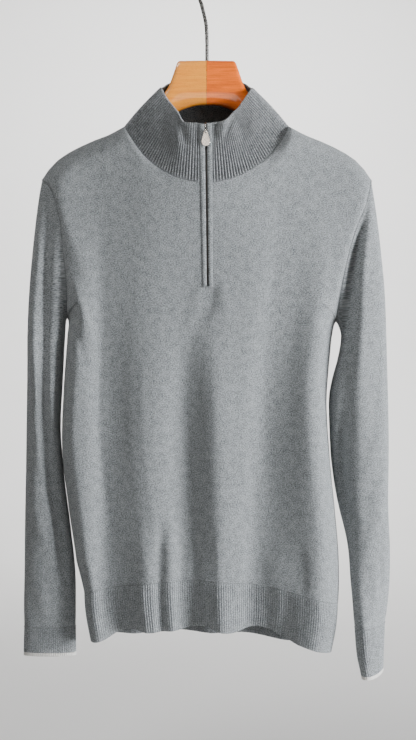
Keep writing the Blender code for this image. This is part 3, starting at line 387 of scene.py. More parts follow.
def fold_offset(folds, creases, x, z):
    """How far folds and creases carry the cloth out, with the slight unevenness of hung wool."""
    total = 0.0
    for fold in folds:
        middle = lerp(fold.top_x, fold.foot_x, (fold.top_z - z) / (fold.top_z - FOLD_FOOT_Z))
        reach = fold.left if x < middle else fold.right
        strength = eased((fold.top_z - z) / (fold.top_z - fold.full_z))
        total += fold.lift * strength * math.exp(-((x - middle) / reach) ** 2)
    for crease in creases:
        run = Vector((crease.to_x - crease.x, crease.to_z - crease.z))
        off = Vector((x - crease.x, z - crease.z))
        along = off.dot(run) / run.length_squared
        if -0.4 < along < 1.4:
            across = (off - run * along).length / crease.half_width
            begun = crease.lift * math.exp(-across ** 2) * eased((along + 0.4) / 0.6)
            total += begun * eased((1.4 - along) / 0.8)
    total += 0.5 * math.sin(x / 19 + z / 57) + 0.4 * math.sin(x / 31 - z / 43 + 1.3)
    return total


def panel_points(face, depths, folds, creases):
    """Grid of a body panel, row by row from the shoulder down, left to right."""
    top = top_line(face)
    left = side_line(-1, face)
    right = side_line(1, face)
    width_top = top[-1].x - top[0].x
    foot_left, foot_right = left[-1], right[-1]
    points = []
    for i in range(len(left)):
        v = (left[i].z - left[0].z) / (foot_left.z - left[0].z)
        for j, head in enumerate(top):
            w = (head.x - top[0].x) / width_top
            if j == 0 or j == len(top) - 1:
                points.append((left if j == 0 else right)[i].copy())
                continue
            if i == 0:
                points.append(head.copy())
                continue
            rise = HEM_SEAM_RISE[face] * math.sin(math.pi * w) ** 0.8
            foot_x = lerp(foot_left.x, foot_right.x, w)
            foot_z = lerp(foot_left.z, foot_right.z, w) + rise
            corner_x = lerp(lerp(top[0].x, top[-1].x, w), lerp(foot_left.x, foot_right.x, w), v)
            corner_z = lerp(lerp(top[0].z, top[-1].z, w), lerp(foot_left.z, foot_right.z, w), v)
            x = lerp(head.x, foot_x, v) + lerp(left[i].x, right[i].x, w) - corner_x
            z = lerp(head.z, foot_z, v) + lerp(left[i].z, right[i].z, w) - corner_z
            neck_share = eased(1 - abs(head.x) / NECK_HALF_WIDTH)
            from_top = rounded((head.z - z) / lerp(SHOULDER_ROUNDING, NECK_ROUNDING, neck_share))
            edge = left[i] if w < 0.5 else right[i]
            below = eased((UNDERARM_Z - z) / UNDERARM_EASE)
            reach = lerp(ARMHOLE_ROUNDING, SIDE_ROUNDING[-1 if w < 0.5 else 1], below)
            from_side = rounded(abs(x - edge.x) / reach)
            centre = read_table(depths, "z", z, "centre")
            side = read_table(depths, "z", z, "edge")
            full = lerp(side, centre, math.cos(min(abs(x) / 200, 1) * math.pi / 2) ** 2)
            full += fold_offset(folds, creases, x, z)
            y = head.y * (1 - from_top) + edge.y * (1 - from_side) + face * full * from_side * from_top
            points.append(Vector((x, y, z)))
    return points, len(left), len(top)


def grid_quads(rows, columns, closed=False, left_out=None):
    """Faces of a grid; left_out(i, j) says which ones are missing, such as a slit."""
    quads = []
    for i in range(rows - 1):
        for j in range(columns if closed else columns - 1):
            if left_out is None or not left_out(i, j):
                k = (j + 1) % columns
                quads.append((i * columns + j, (i + 1) * columns + j, (i + 1) * columns + k, i * columns + k))
    return quads


def turned(faces):
    return [tuple(reversed(face)) for face in faces]


def grid_normals(points, quads):
    normals = [Vector((0, 0, 0)) for _ in points]
    for quad in quads:
        a, b, c, d = (points[v] for v in quad)
        across = (c - a).cross(d - b)
        for v in quad:
            normals[v] += across
    return [n.normalized() if n.length > 1e-9 else Vector((0, -1, 0)) for n in normals]


def grid_places(points, rows, columns, start, closed=False):
    """Where each point lies on the flat cloth, in mm: along its row from column start, and down."""
    across = [0.0] * len(points)
    down = [0.0] * len(points)
    for i in range(rows):
        for way in (1, -1):
            steps = columns - 1 - start if way > 0 else start
            if closed:
                steps = columns // 2 if way > 0 else columns - 1 - columns // 2
            before = i * columns + start
            for n in range(1, steps + 1):
                here = i * columns + (start + way * n) % columns
                step = points[here] - points[before]
                across[here] = across[before] + way * math.hypot(step.x, step.y)
                before = here
    for j in range(columns):
        down[j] = points[j].z
        for i in range(1, rows):
            here, above = i * columns + j, (i - 1) * columns + j
            step = points[here] - points[above]
            down[here] = down[above] - math.hypot(step.y, step.z)
    return list(zip(across, down))


def lay_places(made, places):
    """Writes the flat places, in mm, as the UV map that the knit's pattern follows."""
    mesh = made.data
    layer = mesh.uv_layers.new(name="knit_mm")
    for face in mesh.polygons:
        found = [places[mesh.loops[n].vertex_index] for n in face.loop_indices]
        widest = max(u for u, _ in found)
        for n, (u, v) in zip(face.loop_indices, found):
            layer.data[n].uv = (widest if widest - u > 60 else u, v)


def wall(name, points, quads, thickness, finish, seam_normals, places, open_rim=(), plain=None):
    """A cloth wall: outer points, inner points one thickness behind the plain ones, and edges between
    them, which are rounded along the open rim and straight along a seam."""
    plain = plain or points
    normals = grid_normals(plain, quads)
    for v, normal in seam_normals.items():
        normals[v] = normal(normals[v]).normalized()
    used = sorted({v for quad in quads for v in quad})
    index = {v: n for n, v in enumerate(used)}
    outer = [points[v] for v in used]
    inner = [plain[v] - normals[v] * thickness for v in used]
    laid = [places[v] for v in used] * 2
    shift = len(used)
    faces, edges = [], set()
    for quad in quads:
        loop = [index[v] for v in quad]
        faces.append(loop)
        faces.append([v + shift for v in reversed(loop)])
        edges.update(zip(loop, loop[1:] + loop[:1]))
    border = [(a, b) for a, b in edges if (b, a) not in edges]
    outwards = {}
    for a, b in border:
        run = outer[b] - outer[a]
        for v in (a, b):
            outwards[v] = outwards.get(v, Vector((0, 0, 0))) + run.cross(normals[used[v]])
    extra, arcs = [], {}
    rim = {index[v] for v in open_rim if v in index}
    for v in outwards:
        if v not in rim:
            arcs[v] = [v, v + shift]
            continue
        reach = outwards[v].normalized() * thickness * 0.42
        arcs[v] = [v]
        for turn in (45, 90, 135):
            share = (1 - math.cos(math.radians(turn))) / 2
            arcs[v].append(2 * shift + len(extra))
            extra.append(outer[v].lerp(inner[v], share) + reach * math.sin(math.radians(turn)))
            laid.append(laid[v])
        arcs[v].append(v + shift)
    for a, b in border:
        if len(arcs[a]) == len(arcs[b]):
            for n in range(len(arcs[a]) - 1):
                faces.append([arcs[b][n], arcs[a][n], arcs[a][n + 1], arcs[b][n + 1]])
        else:
            faces.append(arcs[b] + arcs[a][::-1])
    made = new_piece(name, outer + inner + extra, faces, finish, sharp=60)
    lay_places(made, laid)
    return made, normals


def fixed(normal):
    return lambda found: normal


def flattened(axis):
    """The wall's own direction, turned into the plane that its seam lies in."""
    def turn(found):
        kept = found.copy()
        setattr(kept, axis, 0.0)
        return kept
    return turn


def knit_material(name, dark, light, wale, course, relief, furrow_shade=1.0):
    """Wool knit from the cloth's flat places in mm: a column of V-shaped stitches every wale, a row
    every course, on yarn spun from dark and light fibres, with a short raised nap. Painted shade darkens
    the low part of every stitch; below 1, furrow_shade also paints shade into a rib's furrows, found from
    the mesh's pointiness, and says how much colour is left there."""
    made, tree, shader = new_material(name)

    def maths(operation, *inputs):
        return add_node(tree, "Math", dict(enumerate(inputs)), operation=operation)

    place = add_node(tree, "UVMap", uv_map="knit_mm")
    apart = add_node(tree, "SeparateXYZ", {0: place})
    column = maths("DIVIDE", apart.outputs["X"], wale)
    row = maths("DIVIDE", apart.outputs["Y"], course)
    leg = maths("ABSOLUTE", maths("SUBTRACT", maths("FRACT", column), 0.5))
    slant = maths("MULTIPLY_ADD", leg, 1.7, row)
    stitch = maths("SINE", maths("MULTIPLY", slant, 2 * math.pi))
    loop = maths("MULTIPLY_ADD", maths("POWER", leg, 3.0), -9.0, stitch)

    # Melange: flecks follow the yarn, longer along a row than across it, and far finer than a fold.
    streak = add_node(tree, "VectorMath", {0: place, 1: (0.55, 0.9, 1.0)}, operation="MULTIPLY")
    fleck = add_node(tree, "TexNoise", {"Vector": streak, "Scale": 1.0, "Detail": 2.0, "Roughness": 0.6})
    patch = add_node(tree, "TexNoise", {"Vector": place, "Scale": 0.11, "Detail": 2.0})
    mixed = maths("MULTIPLY_ADD", patch, 0.22, fleck)
    spread = add_node(tree, "MapRange", {0: mixed, 1: 0.47, 2: 0.75})
    yarn = add_node(tree, "MixRGB", {0: spread, 1: linear(dark), 2: linear(light)})
    # Painted shade and light on the stitches: each loop's low part is darkened to 0.8 of the yarn, its top
    # lifted to 1.06.
    shade = add_node(tree, "MapRange", {0: loop, 1: -2.0, 2: 1.0, 3: 0.80, 4: 1.06})
    colour = add_node(tree, "MixRGB", {0: 1.0, 1: yarn, 2: shade}, blend_type="MULTIPLY")
    # Painted shade in a rib's furrows: where the mesh's pointiness is low, the colour falls to furrow_shade.
    if furrow_shade < 1:
        bend = add_node(tree, "NewGeometry")
        depth = add_node(tree, "MapRange", {0: bend.outputs["Pointiness"], 1: 0.44, 2: 0.52,
                                            3: furrow_shade, 4: 1.04})
        colour = add_node(tree, "MixRGB", {0: 1.0, 1: colour, 2: depth}, blend_type="MULTIPLY")

    nap = add_node(tree, "TexNoise", {"Vector": place, "Scale": 2.1, "Detail": 3.0})
    height = maths("MULTIPLY_ADD", nap, 1.3, loop)
    bump = add_node(tree, "Bump", {"Height": height, "Strength": 0.75, "Distance": relief * MM})
    fill(tree, shader, {"Base Color": colour, "Roughness": 0.93, "Normal": bump, "Sheen Weight": 0.22,
                        "Sheen Roughness": 0.45, "Specular IOR Level": 0.25})
    return made


def stands_for(made, node, body="garment"):
    """A piece takes the place of its CAD node, which it hides, and moves with that body."""
    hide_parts(node)
    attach(made, body)


def as_cloth(made, node):
    """A sewn piece stands for its solid, which it hides, and moves with the garment."""
    stands_for(made, node)


# A real stitch here is about 1.7 mm wide and 1.3 mm high.
jersey = knit_material("grey_melange_jersey", "#595e60", "#a8adaf", 1.7, 1.3, 0.28)


def panel(name, face, grid, foot_row, finish):
    """A body panel's wall, its seams set half a gap back from the neighbouring pieces."""
    points, rows, columns = grid
    half = SLEEVE_SIDES // 2
    middle = SHOULDER_STEPS[face] + NECK_STEPS[face]
    quads = grid_quads(rows, columns, left_out=lambda i, j: j == middle and i < foot_row)
    if face > 0:
        quads = turned(quads)
    seams = {}
    for side, column in ((-1, 0), (1, columns - 1)):
        loop = armhole_normals(side)
        line = [points[i * columns + column] for i in range(rows)]
        for i in range(rows):
            if i <= half:
                normal = loop[i if face < 0 else (SLEEVE_SIDES - i) % SLEEVE_SIDES]
            else:
                ahead = line[min(i + 1, rows - 1)] - line[i - 1]
                normal = Vector((-ahead.z, 0, ahead.x)).normalized()
                normal *= 1 if normal.x * side > 0 else -1
            seams[i * columns + column] = fixed(normal)
    for j in range(1, columns - 1):
        head = points[j]
        if abs(head.x) > NECK_HALF_WIDTH - 0.01:
            slope = points[j + 1] - points[j - 1]
            seams[j] = fixed(Vector((-slope.z, 0, slope.x)).normalized())
        else:
            seams[j] = fixed(neck_normal(-1 if head.x < 0 else 1, head, face))
        seams[(rows - 1) * columns + j] = flattened("z")
    for i in range(1, foot_row + 1):
        for j in (middle, middle + 1):
            seams[i * columns + j] = flattened("x")
    gap = SEAM_GAP / 2
    moved = [p.copy() for p in points]
    for i in range(rows):
        for j in range(columns):
            p = moved[i * columns + j]
            at_side = j in (0, columns - 1)
            if i == 0 and abs(p.x) < NECK_HALF_WIDTH + 0.01:
                p.z -= gap
            if i == rows - 1:
                p.z += gap
            if at_side and i <= half:
                p.x -= gap * (-1 if j == 0 else 1)
            if (at_side and (i >= half or i == 0)) or (i == 0 and abs(p.y) < 1e-6):
                p.y += face * gap
    places = grid_places(moved, rows, columns, middle)
    return wall(name, moved, quads, KNIT_WALL, finish, seams, places)


def slit_rows(grid, middle):
    """Lays the two middle columns along the zip's slit, takes their neighbours along, and finds the
    row at its foot."""
    points, rows, columns = grid
    foot = min(range(rows), key=lambda i: abs(points[i * columns + middle].z - ZIP_FOOT_Z))
    for i in range(rows):
        for j, side in ((middle, -1), (middle + 1, 1)):
            p = points[i * columns + j]
            if i == foot:
                p.z = ZIP_FOOT_Z
            z = max(p.z, ZIP_FOOT_Z)
            shift = (zip_middle(z) + side * slit_half(z) - p.x) * (1 - eased((i - foot) / 16))
            for n in range(20):
                points[i * columns + j + side * n].x += shift * (1 - eased(n / 20))
    return foot


def even_columns(grid, joints):
    """Evens out the columns below the neck points, where those of the neckline run close together."""
    points, rows, columns = grid
    for i in range(2, rows - 1):
        for _ in range(40):
            for joint in joints:
                for j in range(joint - 14, joint + 15):
                    v = i * columns + j
                    points[v] = points[v].lerp((points[v - 1] + points[v + 1]) / 2, 0.5 * eased(i / 10))


FRONT_MIDDLE = SHOULDER_STEPS[-1] + NECK_STEPS[-1]
front_grid = panel_points(-1, FRONT_DEPTH, FRONT_FOLDS, FRONT_CREASES)
even_columns(front_grid, (SHOULDER_STEPS[-1], FRONT_MIDDLE + 1 + NECK_STEPS[-1]))
slit_foot = slit_rows(front_grid, FRONT_MIDDLE)
front, front_normals = panel("front_jersey", -1, front_grid, slit_foot, jersey)
as_cloth(front, "front")


# ---------------------------------------------------------------- back of the body
# The same jersey in one piece without a slit. The photograph doesn't show it, so its folds are like
# the front's, at other places.
BACK_DEPTH = [
    Depth(-235.0, 38.0, 22.0), Depth(-317.0, 36.0, 24.0), Depth(-400.0, 35.0, 26.0),
    Depth(-500.0, 33.0, 28.0), Depth(-700.0, 32.0, 28.0), Depth(-945.0, 32.0, 27.0),
]
BACK_FOLDS = [
    Fold(-150, -138, -400, -640, 22, 14, 7.0),
    Fold(-112, -100, -420, -700, 16, 24, -9.0),
    Fold(-52, -46, -460, -760, 26, 20, 5.0),
    Fold(2, 6, -440, -760, 20, 16, -9.0),
    Fold(52, 58, -480, -760, 20, 24, 6.0),
    Fold(104, 110, -460, -720, 20, 18, -8.0),
    Fold(146, 150, -420, -640, 15, 18, 6.0),
    Fold(-78, -80, -750, -830, 8, 8, -2.5),
    Fold(28, 30, -750, -830, 8, 8, -2.5),
]
BACK_CREASES = [
    Crease(-186, -430, -148, -520, 7, 2.4), Crease(176, -440, 150, -540, 7, 2.4),
    Crease(-184, -470, -150, -565, 6, -2.0), Crease(172, -482, 144, -575, 6, -2.0),
    Crease(-70, -300, -20, -318, 9, 1.6), Crease(70, -300, 20, -318, 9, 1.6),
]
back_grid = panel_points(1, BACK_DEPTH, BACK_FOLDS, BACK_CREASES)
even_columns(back_grid, (SHOULDER_STEPS[1], SHOULDER_STEPS[1] + 2 * NECK_STEPS[1]))
back, _ = panel("back_jersey", 1, back_grid, 0, jersey)
as_cloth(back, "back")


# ---------------------------------------------------------------- sleeves
# Two tubes of the same jersey, knitted to shape and linked into the armholes. They hang straight
# down beside the body; the right one ends turned edge-on, as the photograph shows it.

# Each section is a loop between its outer point, on the arm's silhouette, and its inner point,
# beside the body; front and back are its depths off that line.
Section = namedtuple("Section", "out_x out_y out_z in_x in_y in_z front back")
SLEEVE = {
    -1: [
        Section(-221.5, 0, -306.5, -187.5, 0, -492.0, 24, 22),
        Section(-225.5, 0, -328.0, -190.2, 0, -499.0, 25, 23),
        Section(-229.5, 0, -358.0, -191.2, 0, -517.0, 27, 24),
        Section(-234.0, 0, -400.0, -192.6, 0, -543.0, 29, 26),
        Section(-238.5, 0, -455.0, -194.4, 0, -581.0, 31, 28),
        Section(-241.0, 0, -520.0, -197.0, 0, -625.0, 32, 30),
        Section(-242.5, 0, -595.0, -196.5, 8, -668.0, 32, 30),
        Section(-243.6, 0, -680.0, -192.5, 10, -714.0, 30, 29),
        Section(-245.0, 0, -760.0, -184.5, 7, -772.0, 26, 25),
        Section(-245.5, 0, -830.0, -177.4, 2, -832.0, 20, 20),
        Section(-246.4, 0, -880.0, -176.4, 0, -880.0, 15, 15),
        Section(-245.9, 0, -908.6, -176.6, 0, -908.6, 12, 12),
        Section(-246.4, 0, -930.0, -176.4, 0, -930.0, 11, 11),
        Section(-246.6, 0, -946.4, -176.2, 0, -946.4, 11, 11),
    ],
    1: [
        Section(221.5, 0, -306.5, 174.0, 0, -497.0, 24, 22),
        Section(225.3, 0, -330.0, 178.5, 0, -504.0, 25, 23),
        Section(230.0, 0, -362.0, 182.0, 0, -520.0, 27, 24),
        Section(234.5, 0, -400.0, 178.0, 0, -546.0, 29, 26),
        Section(240.0, 0, -458.0, 169.5, 0, -577.0, 31, 28),
        Section(242.3, 0, -522.0, 165.4, 0, -603.0, 31, 29),
        Section(245.0, 0, -604.0, 166.5, 6, -645.0, 30, 29),
        Section(246.4, 2, -671.0, 170.0, 12, -690.0, 28, 28),
        Section(245.8, 5, -738.0, 178.0, 8, -742.0, 26, 26),
        Section(246.4, 10, -800.0, 192.0, -8, -800.0, 22, 22),
        Section(246.2, 17, -850.0, 196.4, -16, -850.0, 17, 17),
        Section(243.0, 26, -893.0, 203.0, -26, -893.0, 13, 19),
        Section(240.5, 29, -907.0, 205.5, -29, -907.0, 12, 19),
        Section(239.2, 31, -945.0, 208.0, -31, -945.0, 11, 17),
        Section(238.0, 32, -972.6, 210.0, -32, -972.6, 11, 11),
    ],
}
SEAM_ROW = {-1: 11.0, 1: 12.0}      # row of the table where the cuff is sewn on

# The furrow that runs down each sleeve's front, and short creases at the armhole and the elbow.
Furrow = namedtuple("Furrow", "z x depth")
FURROW_HALF_WIDTH = 8.0
FURROW = {
    -1: [Furrow(-306, -212, 0.0), Furrow(-340, -210, 6.0), Furrow(-415, -214, 9.0),
         Furrow(-520, -216, 9.5), Furrow(-610, -216, 10.5), Furrow(-700, -209, 11.0),
         Furrow(-784, -196, 7.0), Furrow(-870, -190, 0.0)],
    1: [Furrow(-306, 216, 0.0), Furrow(-345, 206, 6.0), Furrow(-410, 196, 9.0),
        Furrow(-470, 190, 8.5), Furrow(-530, 186, 5.0), Furrow(-600, 182, 3.0),
        Furrow(-680, 180, 11.0), Furrow(-740, 187, 10.0), Furrow(-800, 196, 0.0)],
}
SLEEVE_CREASES = {
    -1: [
        Crease(-230, -350, -222, -430, 6, 2.2),
        Crease(-236, -470, -226, -600, 7, 2.6),
        Crease(-228, -640, -200, -700, 7, 2.4),
        Crease(-232, -690, -206, -740, 6, -2.2),
        Crease(-234, -740, -212, -800, 7, 2.0),
        Crease(-204, -560, -202, -640, 6, 2.2),
        Crease(-218, -860, -214, -905, 7, 1.6),
        Crease(-196, -856, -198, -905, 6, -1.6),
        Crease(-236, -850, -234, -905, 6, -1.4),
    ],
    1: [
        Crease(222, -330, 210, -420, 8, 3.2),
        Crease(208, -420, 203, -560, 8, 3.4),
        Crease(203, -560, 206, -700, 10, 2.6),
        Crease(228, -520, 226, -640, 8, -2.2),
        Crease(236, -640, 214, -690, 6, 2.0),
        Crease(234, -700, 208, -740, 6, -1.8),
        Crease(232, -750, 214, -800, 6, 1.8),
        Crease(190, -620, 184, -660, 5, -1.8),
        Crease(224, -820, 226, -890, 6, 1.6),
    ],
}


def plain_ring(side, place, sides):
    """A section of the sleeve at a fractional row of its table."""
    value = {name: smooth_value(SLEEVE[side], name, place) for name in Section._fields}
    outer = Vector((value["out_x"], value["out_y"], value["out_z"]))
    inner = Vector((value["in_x"], value["in_y"], value["in_z"]))
    chord = inner - outer
    ahead = Vector((-side * chord.y, side * chord.x, 0)).normalized()
    ring = []
    for k in range(sides):
        angle = 2 * math.pi * k / sides
        depth = value["front"] if angle < math.pi else value["back"]
        ring.append(outer + chord * (1 - math.cos(angle)) / 2 + ahead * depth * loop_sine(angle))
    return ring, ahead


def sleeve_ring(side, place, sides=SLEEVE_SIDES):
    """A section that starts as the armhole and carries the sleeve's furrow and creases."""
    ring, ahead = plain_ring(side, place, sides)
    start, _ = plain_ring(side, 0.0, sides)
    loop = armhole_loop(side, sides)
    left_over = 1 - eased(place / 4.0)
    begun = eased(place)
    ended = 1 - 0.7 * eased(place - SEAM_ROW[side] + 1)
    for k, p in enumerate(ring):
        p += (loop[k] - start[k]) * left_over
        share = math.sin(2 * math.pi * k / sides)
        out = fold_offset([], SLEEVE_CREASES[side], p.x, p.z)
        if share > 0 and place > 0:
            off = (p.x - read_table(FURROW[side], "z", p.z, "x")) / FURROW_HALF_WIDTH
            out -= read_table(FURROW[side], "z", p.z, "depth") * math.exp(-off * off)
        p += ahead * share * out * begun * ended
    return ring


def tube(name, side, rings, thickness, finish, first_normals=None, open_end=False, relief=None):
    """A cloth tube from its rings, open at both ends; relief turns its points into ribbed ones."""
    sides = len(rings[0])
    points = [p for ring in rings for p in ring]
    quads = grid_quads(len(rings), sides, closed=True)
    if side > 0:
        quads = turned(quads)
    last = (len(rings) - 1) * sides
    seams = {}
    for k in range(sides):
        seams[k] = fixed(first_normals[k]) if first_normals else flattened("z")
        seams[last + k] = flattened("z")
    places = grid_places(points, len(rings), sides, 0, closed=True)
    rim = range(last, last + sides) if open_end else ()
    shown = relief(points, quads) if relief else points
    return wall(name, shown, quads, thickness, finish, seams, places, rim, points)[0]


for side, word in ((-1, "left"), (1, "right")):
    steps = int(SEAM_ROW[side] * 8)
    rings = [sleeve_ring(side, SEAM_ROW[side] * n / steps) for n in range(steps + 1)]
    for p in rings[0]:
        p.x += side * SEAM_GAP
    for p in rings[-1]:
        p.z += SEAM_GAP / 2
    sleeve = tube("sleeve_jersey_" + word, side, rings, KNIT_WALL, jersey, armhole_normals(side))
    as_cloth(sleeve, "sleeve_" + word)


# ---------------------------------------------------------------- cuffs
# A 1x1 rib of the same yarn, knitted onto each sleeve, which draws in and springs back. Its last
# rows are knitted with white yarn and make the tipped edge.
BAND_WALL = 2.6
BAND_RELIEF = 0.7       # from the bottom of a furrow to the top of a rib
CUFF_RIBS = 54
CUFF_TIP_HEIGHT = 3.6
RIB_POINTS = 6          # points that draw one rib

# The rib's stitches are a little narrower than the jersey's; its ridges are in the mesh, and painted shade
# darkens its furrows to 0.78.
rib_knit = knit_material("grey_melange_rib", "#595e60", "#a8adaf", 1.4, 1.3, 0.25, furrow_shade=0.78)
white_knit = knit_material("white_tipping_yarn", "#d9d7d1", "#f4f2ee", 1.4, 1.2, 0.25)


def ribbed(points, quads, ribs, columns, relief, fade=lambda v: 1.0):
    """The grid's points raised into ribs, a whole number of them along a row."""
    normals = grid_normals(points, quads)
    raised = []
    for v, p in enumerate(points):
        wave = math.cos(2 * math.pi * ribs * (v % columns) / columns)
        wave = math.copysign(abs(wave) ** 0.7, wave)
        raised.append(p + normals[v] * wave * relief / 2 * fade(v))
    return raised


def cuff_rings(side, z_from, z_to, rows):
    """Rings at level heights, their points at equal distances round the wrist."""
    rings = []
    for n in range(rows):
        z = lerp(z_from, z_to, n / (rows - 1))
        ring = sleeve_ring(side, place_of(SLEEVE[side], "out_z", z), 160)
        for p in ring:
            p.z = z
        rings.append(resample(ring + ring[:1], CUFF_RIBS * RIB_POINTS)[:-1])
    return rings


def cuff_relief(points, quads):
    return ribbed(points, quads, CUFF_RIBS, CUFF_RIBS * RIB_POINTS, BAND_RELIEF)


for side, word in ((-1, "left"), (1, "right")):
    top = SLEEVE[side][int(SEAM_ROW[side])].out_z - SEAM_GAP / 2
    foot = SLEEVE[side][-1].out_z
    tip_top = foot + CUFF_TIP_HEIGHT
    tip = tube("cuff_tipping_" + word, side, cuff_rings(side, tip_top, foot, 4), BAND_WALL, white_knit,
               open_end=True, relief=cuff_relief)
    stands_for(tip, "cuff_tip_" + word)
    cuff = tube("cuff_rib_" + word, side, cuff_rings(side, top, tip_top + SEAM_GAP, 12), BAND_WALL, rib_knit,
                relief=cuff_relief)
    as_cloth(cuff, "cuff_" + word)


# ---------------------------------------------------------------- hem band
# The same rib in two bands, linked to front and back and joined at the sides. It draws the body in,
# and its lower edge waves in depth where the folds end.
HEM_BAND_HEIGHT = 65.0
HEM_PULL = 0.03
HEM_RIBS = {-1: 132, 1: 128}
HEM_ROWS = 16

# How far the lower edge is tucked in and how far that lifts it, along the front and the back.
Wave = namedtuple("Wave", "x tuck lift")
HEM_WAVE = {
    -1: [Wave(-170, 0, 0), Wave(-140, 2, 0), Wave(-122, 9, 5), Wave(-110, 9, 7), Wave(-83, 5, 1),
         Wave(-38, 2, 1), Wave(-5, 9, 4), Wave(15, 0, 0), Wave(35, 0, 0), Wave(57, 2, 7),
         Wave(72, 3, 10), Wave(89, 6, 8), Wave(110, 6, 3), Wave(126, 0, 0), Wave(180, 0, 0)],
    1: [Wave(-170, 0, 0), Wave(-120, 6, 1), Wave(-60, 0, 0), Wave(0, 6, 1), Wave(60, 0, 0),
        Wave(120, 6, 1), Wave(180, 0, 0)],
}


def hem_band(name, face, grid, folds, finish):
    """The rib sewn to a panel's lower edge, its ribs at equal distances along it."""
    points, rows, columns = grid
    steps = HEM_RIBS[face] * RIB_POINTS
    seam = resample(points[(rows - 1) * columns:], steps)
    count = steps + 1
    plain = []
    for i in range(HEM_ROWS):
        share = i / (HEM_ROWS - 1)
        for j, head in enumerate(seam):
            z = head.z - HEM_BAND_HEIGHT * share
            left = read_table(SIDE[-1], "z", z, "x")
            right = read_table(SIDE[1], "z", z, "x")
            w = (head.x - seam[0].x) / (seam[-1].x - seam[0].x)
            x = lerp(head.x, lerp(left, right, w), share)
            y = head.y * (1 - HEM_PULL * math.sin(math.pi * share))
            y += face * 0.25 * share * fold_offset(folds, [], head.x, head.z) * math.sin(math.pi * w)
            y -= face * read_table(HEM_WAVE[face], "x", head.x, "tuck") * share ** 1.3
            z += read_table(HEM_WAVE[face], "x", head.x, "lift") * share ** 1.3
            if j in (0, count - 1):
                y = face * SEAM_GAP / 2
            if share == 0:
                z -= SEAM_GAP / 2
            plain.append(Vector((x, y, z)))
    quads = grid_quads(HEM_ROWS, count)
    if face > 0:
        quads = turned(quads)
    raised = ribbed(plain, quads, HEM_RIBS[face] * count / steps, count, BAND_RELIEF,
                    lambda v: 0 if v % count in (0, count - 1) else 1)
    last = (HEM_ROWS - 1) * count
    seams = {}
    for j in range(1, count - 1):
        seams[j] = flattened("z")
        seams[last + j] = flattened("z")
    for i in range(HEM_ROWS):
        seams[i * count] = fixed(Vector((-1, 0, 0)))
        seams[i * count + count - 1] = fixed(Vector((1, 0, 0)))
    places = grid_places(plain, HEM_ROWS, count, count // 2)
    return wall(name, raised, quads, BAND_WALL, finish, seams, places, range(last, last + count), plain)[0]


hem_front = hem_band("hem_rib_knit_front", -1, front_grid, FRONT_FOLDS, rib_knit)
as_cloth(hem_front, "hem_rib_front")
hem_back = hem_band("hem_rib_knit_back", 1, back_grid, BACK_FOLDS, rib_knit)
as_cloth(hem_back, "hem_rib_back")


# ---------------------------------------------------------------- collar
# A stand collar of two layers of 1x1 rib, linked to the neckline and open at the zip. It leans in to
# the neck, rolls and buckles at the front, and its rib stretches open towards the seam.
COLLAR_WALL = 3.2
COLLAR_RIBS = 134       # one rib every 4 mm at the base
COLLAR_RELIEF = 1.9
FRONT_RIBS = 37         # ribs from the zip to the side; the rest run on to the middle of the back
COLLAR_BULGE = 2.0
COLLAR_ROWS = 29

# The upper edge. way: 0 at the zip, 1 at the side, 2 at the middle of the back.
Rim = namedtuple("Rim", "way x y z")
RIM = {
    -1: [Rim(0.00, -10.0, -44.0, -240.0), Rim(0.20, -29.0, -45.0, -239.0), Rim(0.32, -34.0, -39.0, -232.5),
         Rim(0.52, -39.5, -30.0, -220.5), Rim(0.78, -53.5, -16.5, -200.5), Rim(0.91, -60.0, -11.5, -188.0),
         Rim(1.00, -62.5, 0.0, -182.0), Rim(1.10, -60.5, 11.5, -179.0), Rim(1.45, -46.0, 21.0, -170.0),
         Rim(2.00, 0.0, 27.0, -166.0)],
    1: [Rim(0.00, 8.0, -44.0, -239.5), Rim(0.15, 21.0, -45.0, -237.5), Rim(0.28, 29.0, -42.0, -233.0),
        Rim(0.42, 36.5, -33.0, -222.5), Rim(0.60, 43.0, -25.0, -214.5), Rim(0.80, 52.5, -16.5, -199.5),
        Rim(0.91, 59.5, -11.5, -188.0), Rim(1.00, 62.5, 0.0, -182.5), Rim(1.10, 60.5, 11.5, -179.0),
        Rim(1.45, 46.0, 21.0, -170.0), Rim(2.00, 0.0, 27.0, -166.0)],
}
# Creases of the front, where the rim buckles: from a place on the rim down towards the seam.
COLLAR_CREASES = {
    -1: [Crease(-34, -234, -26, -266, 5, -3.6), Crease(-42, -236, -36, -270, 7, 2.2),
         Crease(-16, -240, -18, -262, 7, 1.4), Crease(-70, -222, -64, -268, 9, 1.2)],
    1: [Crease(14, -240, 12, -262, 4, -2.8), Crease(24, -238, 20, -256, 5, 2.6),
        Crease(33, -232, 26, -258, 5, -2.8), Crease(66, -220, 58, -262, 9, 1.2)],
}


def collar_columns():
    """Base point, base normal, rim point and side of every column, from zip edge to zip edge."""
    steps = COLLAR_RIBS // 2 * RIB_POINTS
    front_steps = FRONT_RIBS * RIB_POINTS
    sides = {}
    for side in (-1, 1):
        column = []
        for n in range(steps + 1):
            if n <= front_steps:
                way = n / front_steps
                seam, face, share = list(reversed(neck_seam(side, -1))), -1, way
            else:
                way = 1 + (n - front_steps) / (steps - front_steps)
                seam, face, share = neck_seam(side, 1), 1, way - 1
            place = share * (len(seam) - 1)
            i = min(int(place), len(seam) - 2)
            base = seam[i].lerp(seam[i + 1], place - i)
            out = neck_normal(side, seam[i], face).lerp(neck_normal(side, seam[i + 1], face), place - i)
            top = Vector([read_table(RIM[side], "way", way, axis) for axis in ("x", "y", "z")])
            column.append((base, out, top, side))
        sides[side] = column
    return sides[-1] + list(reversed(sides[1]))[1:]


# The collar's rib is drawn tighter than the cuffs', so its furrows are deeper; painted shade darkens them
# more, to half.
collar_knit = knit_material("grey_melange_collar_rib", "#575b5d", "#a4a8aa", 1.4, 1.3, 0.25, furrow_shade=0.5)

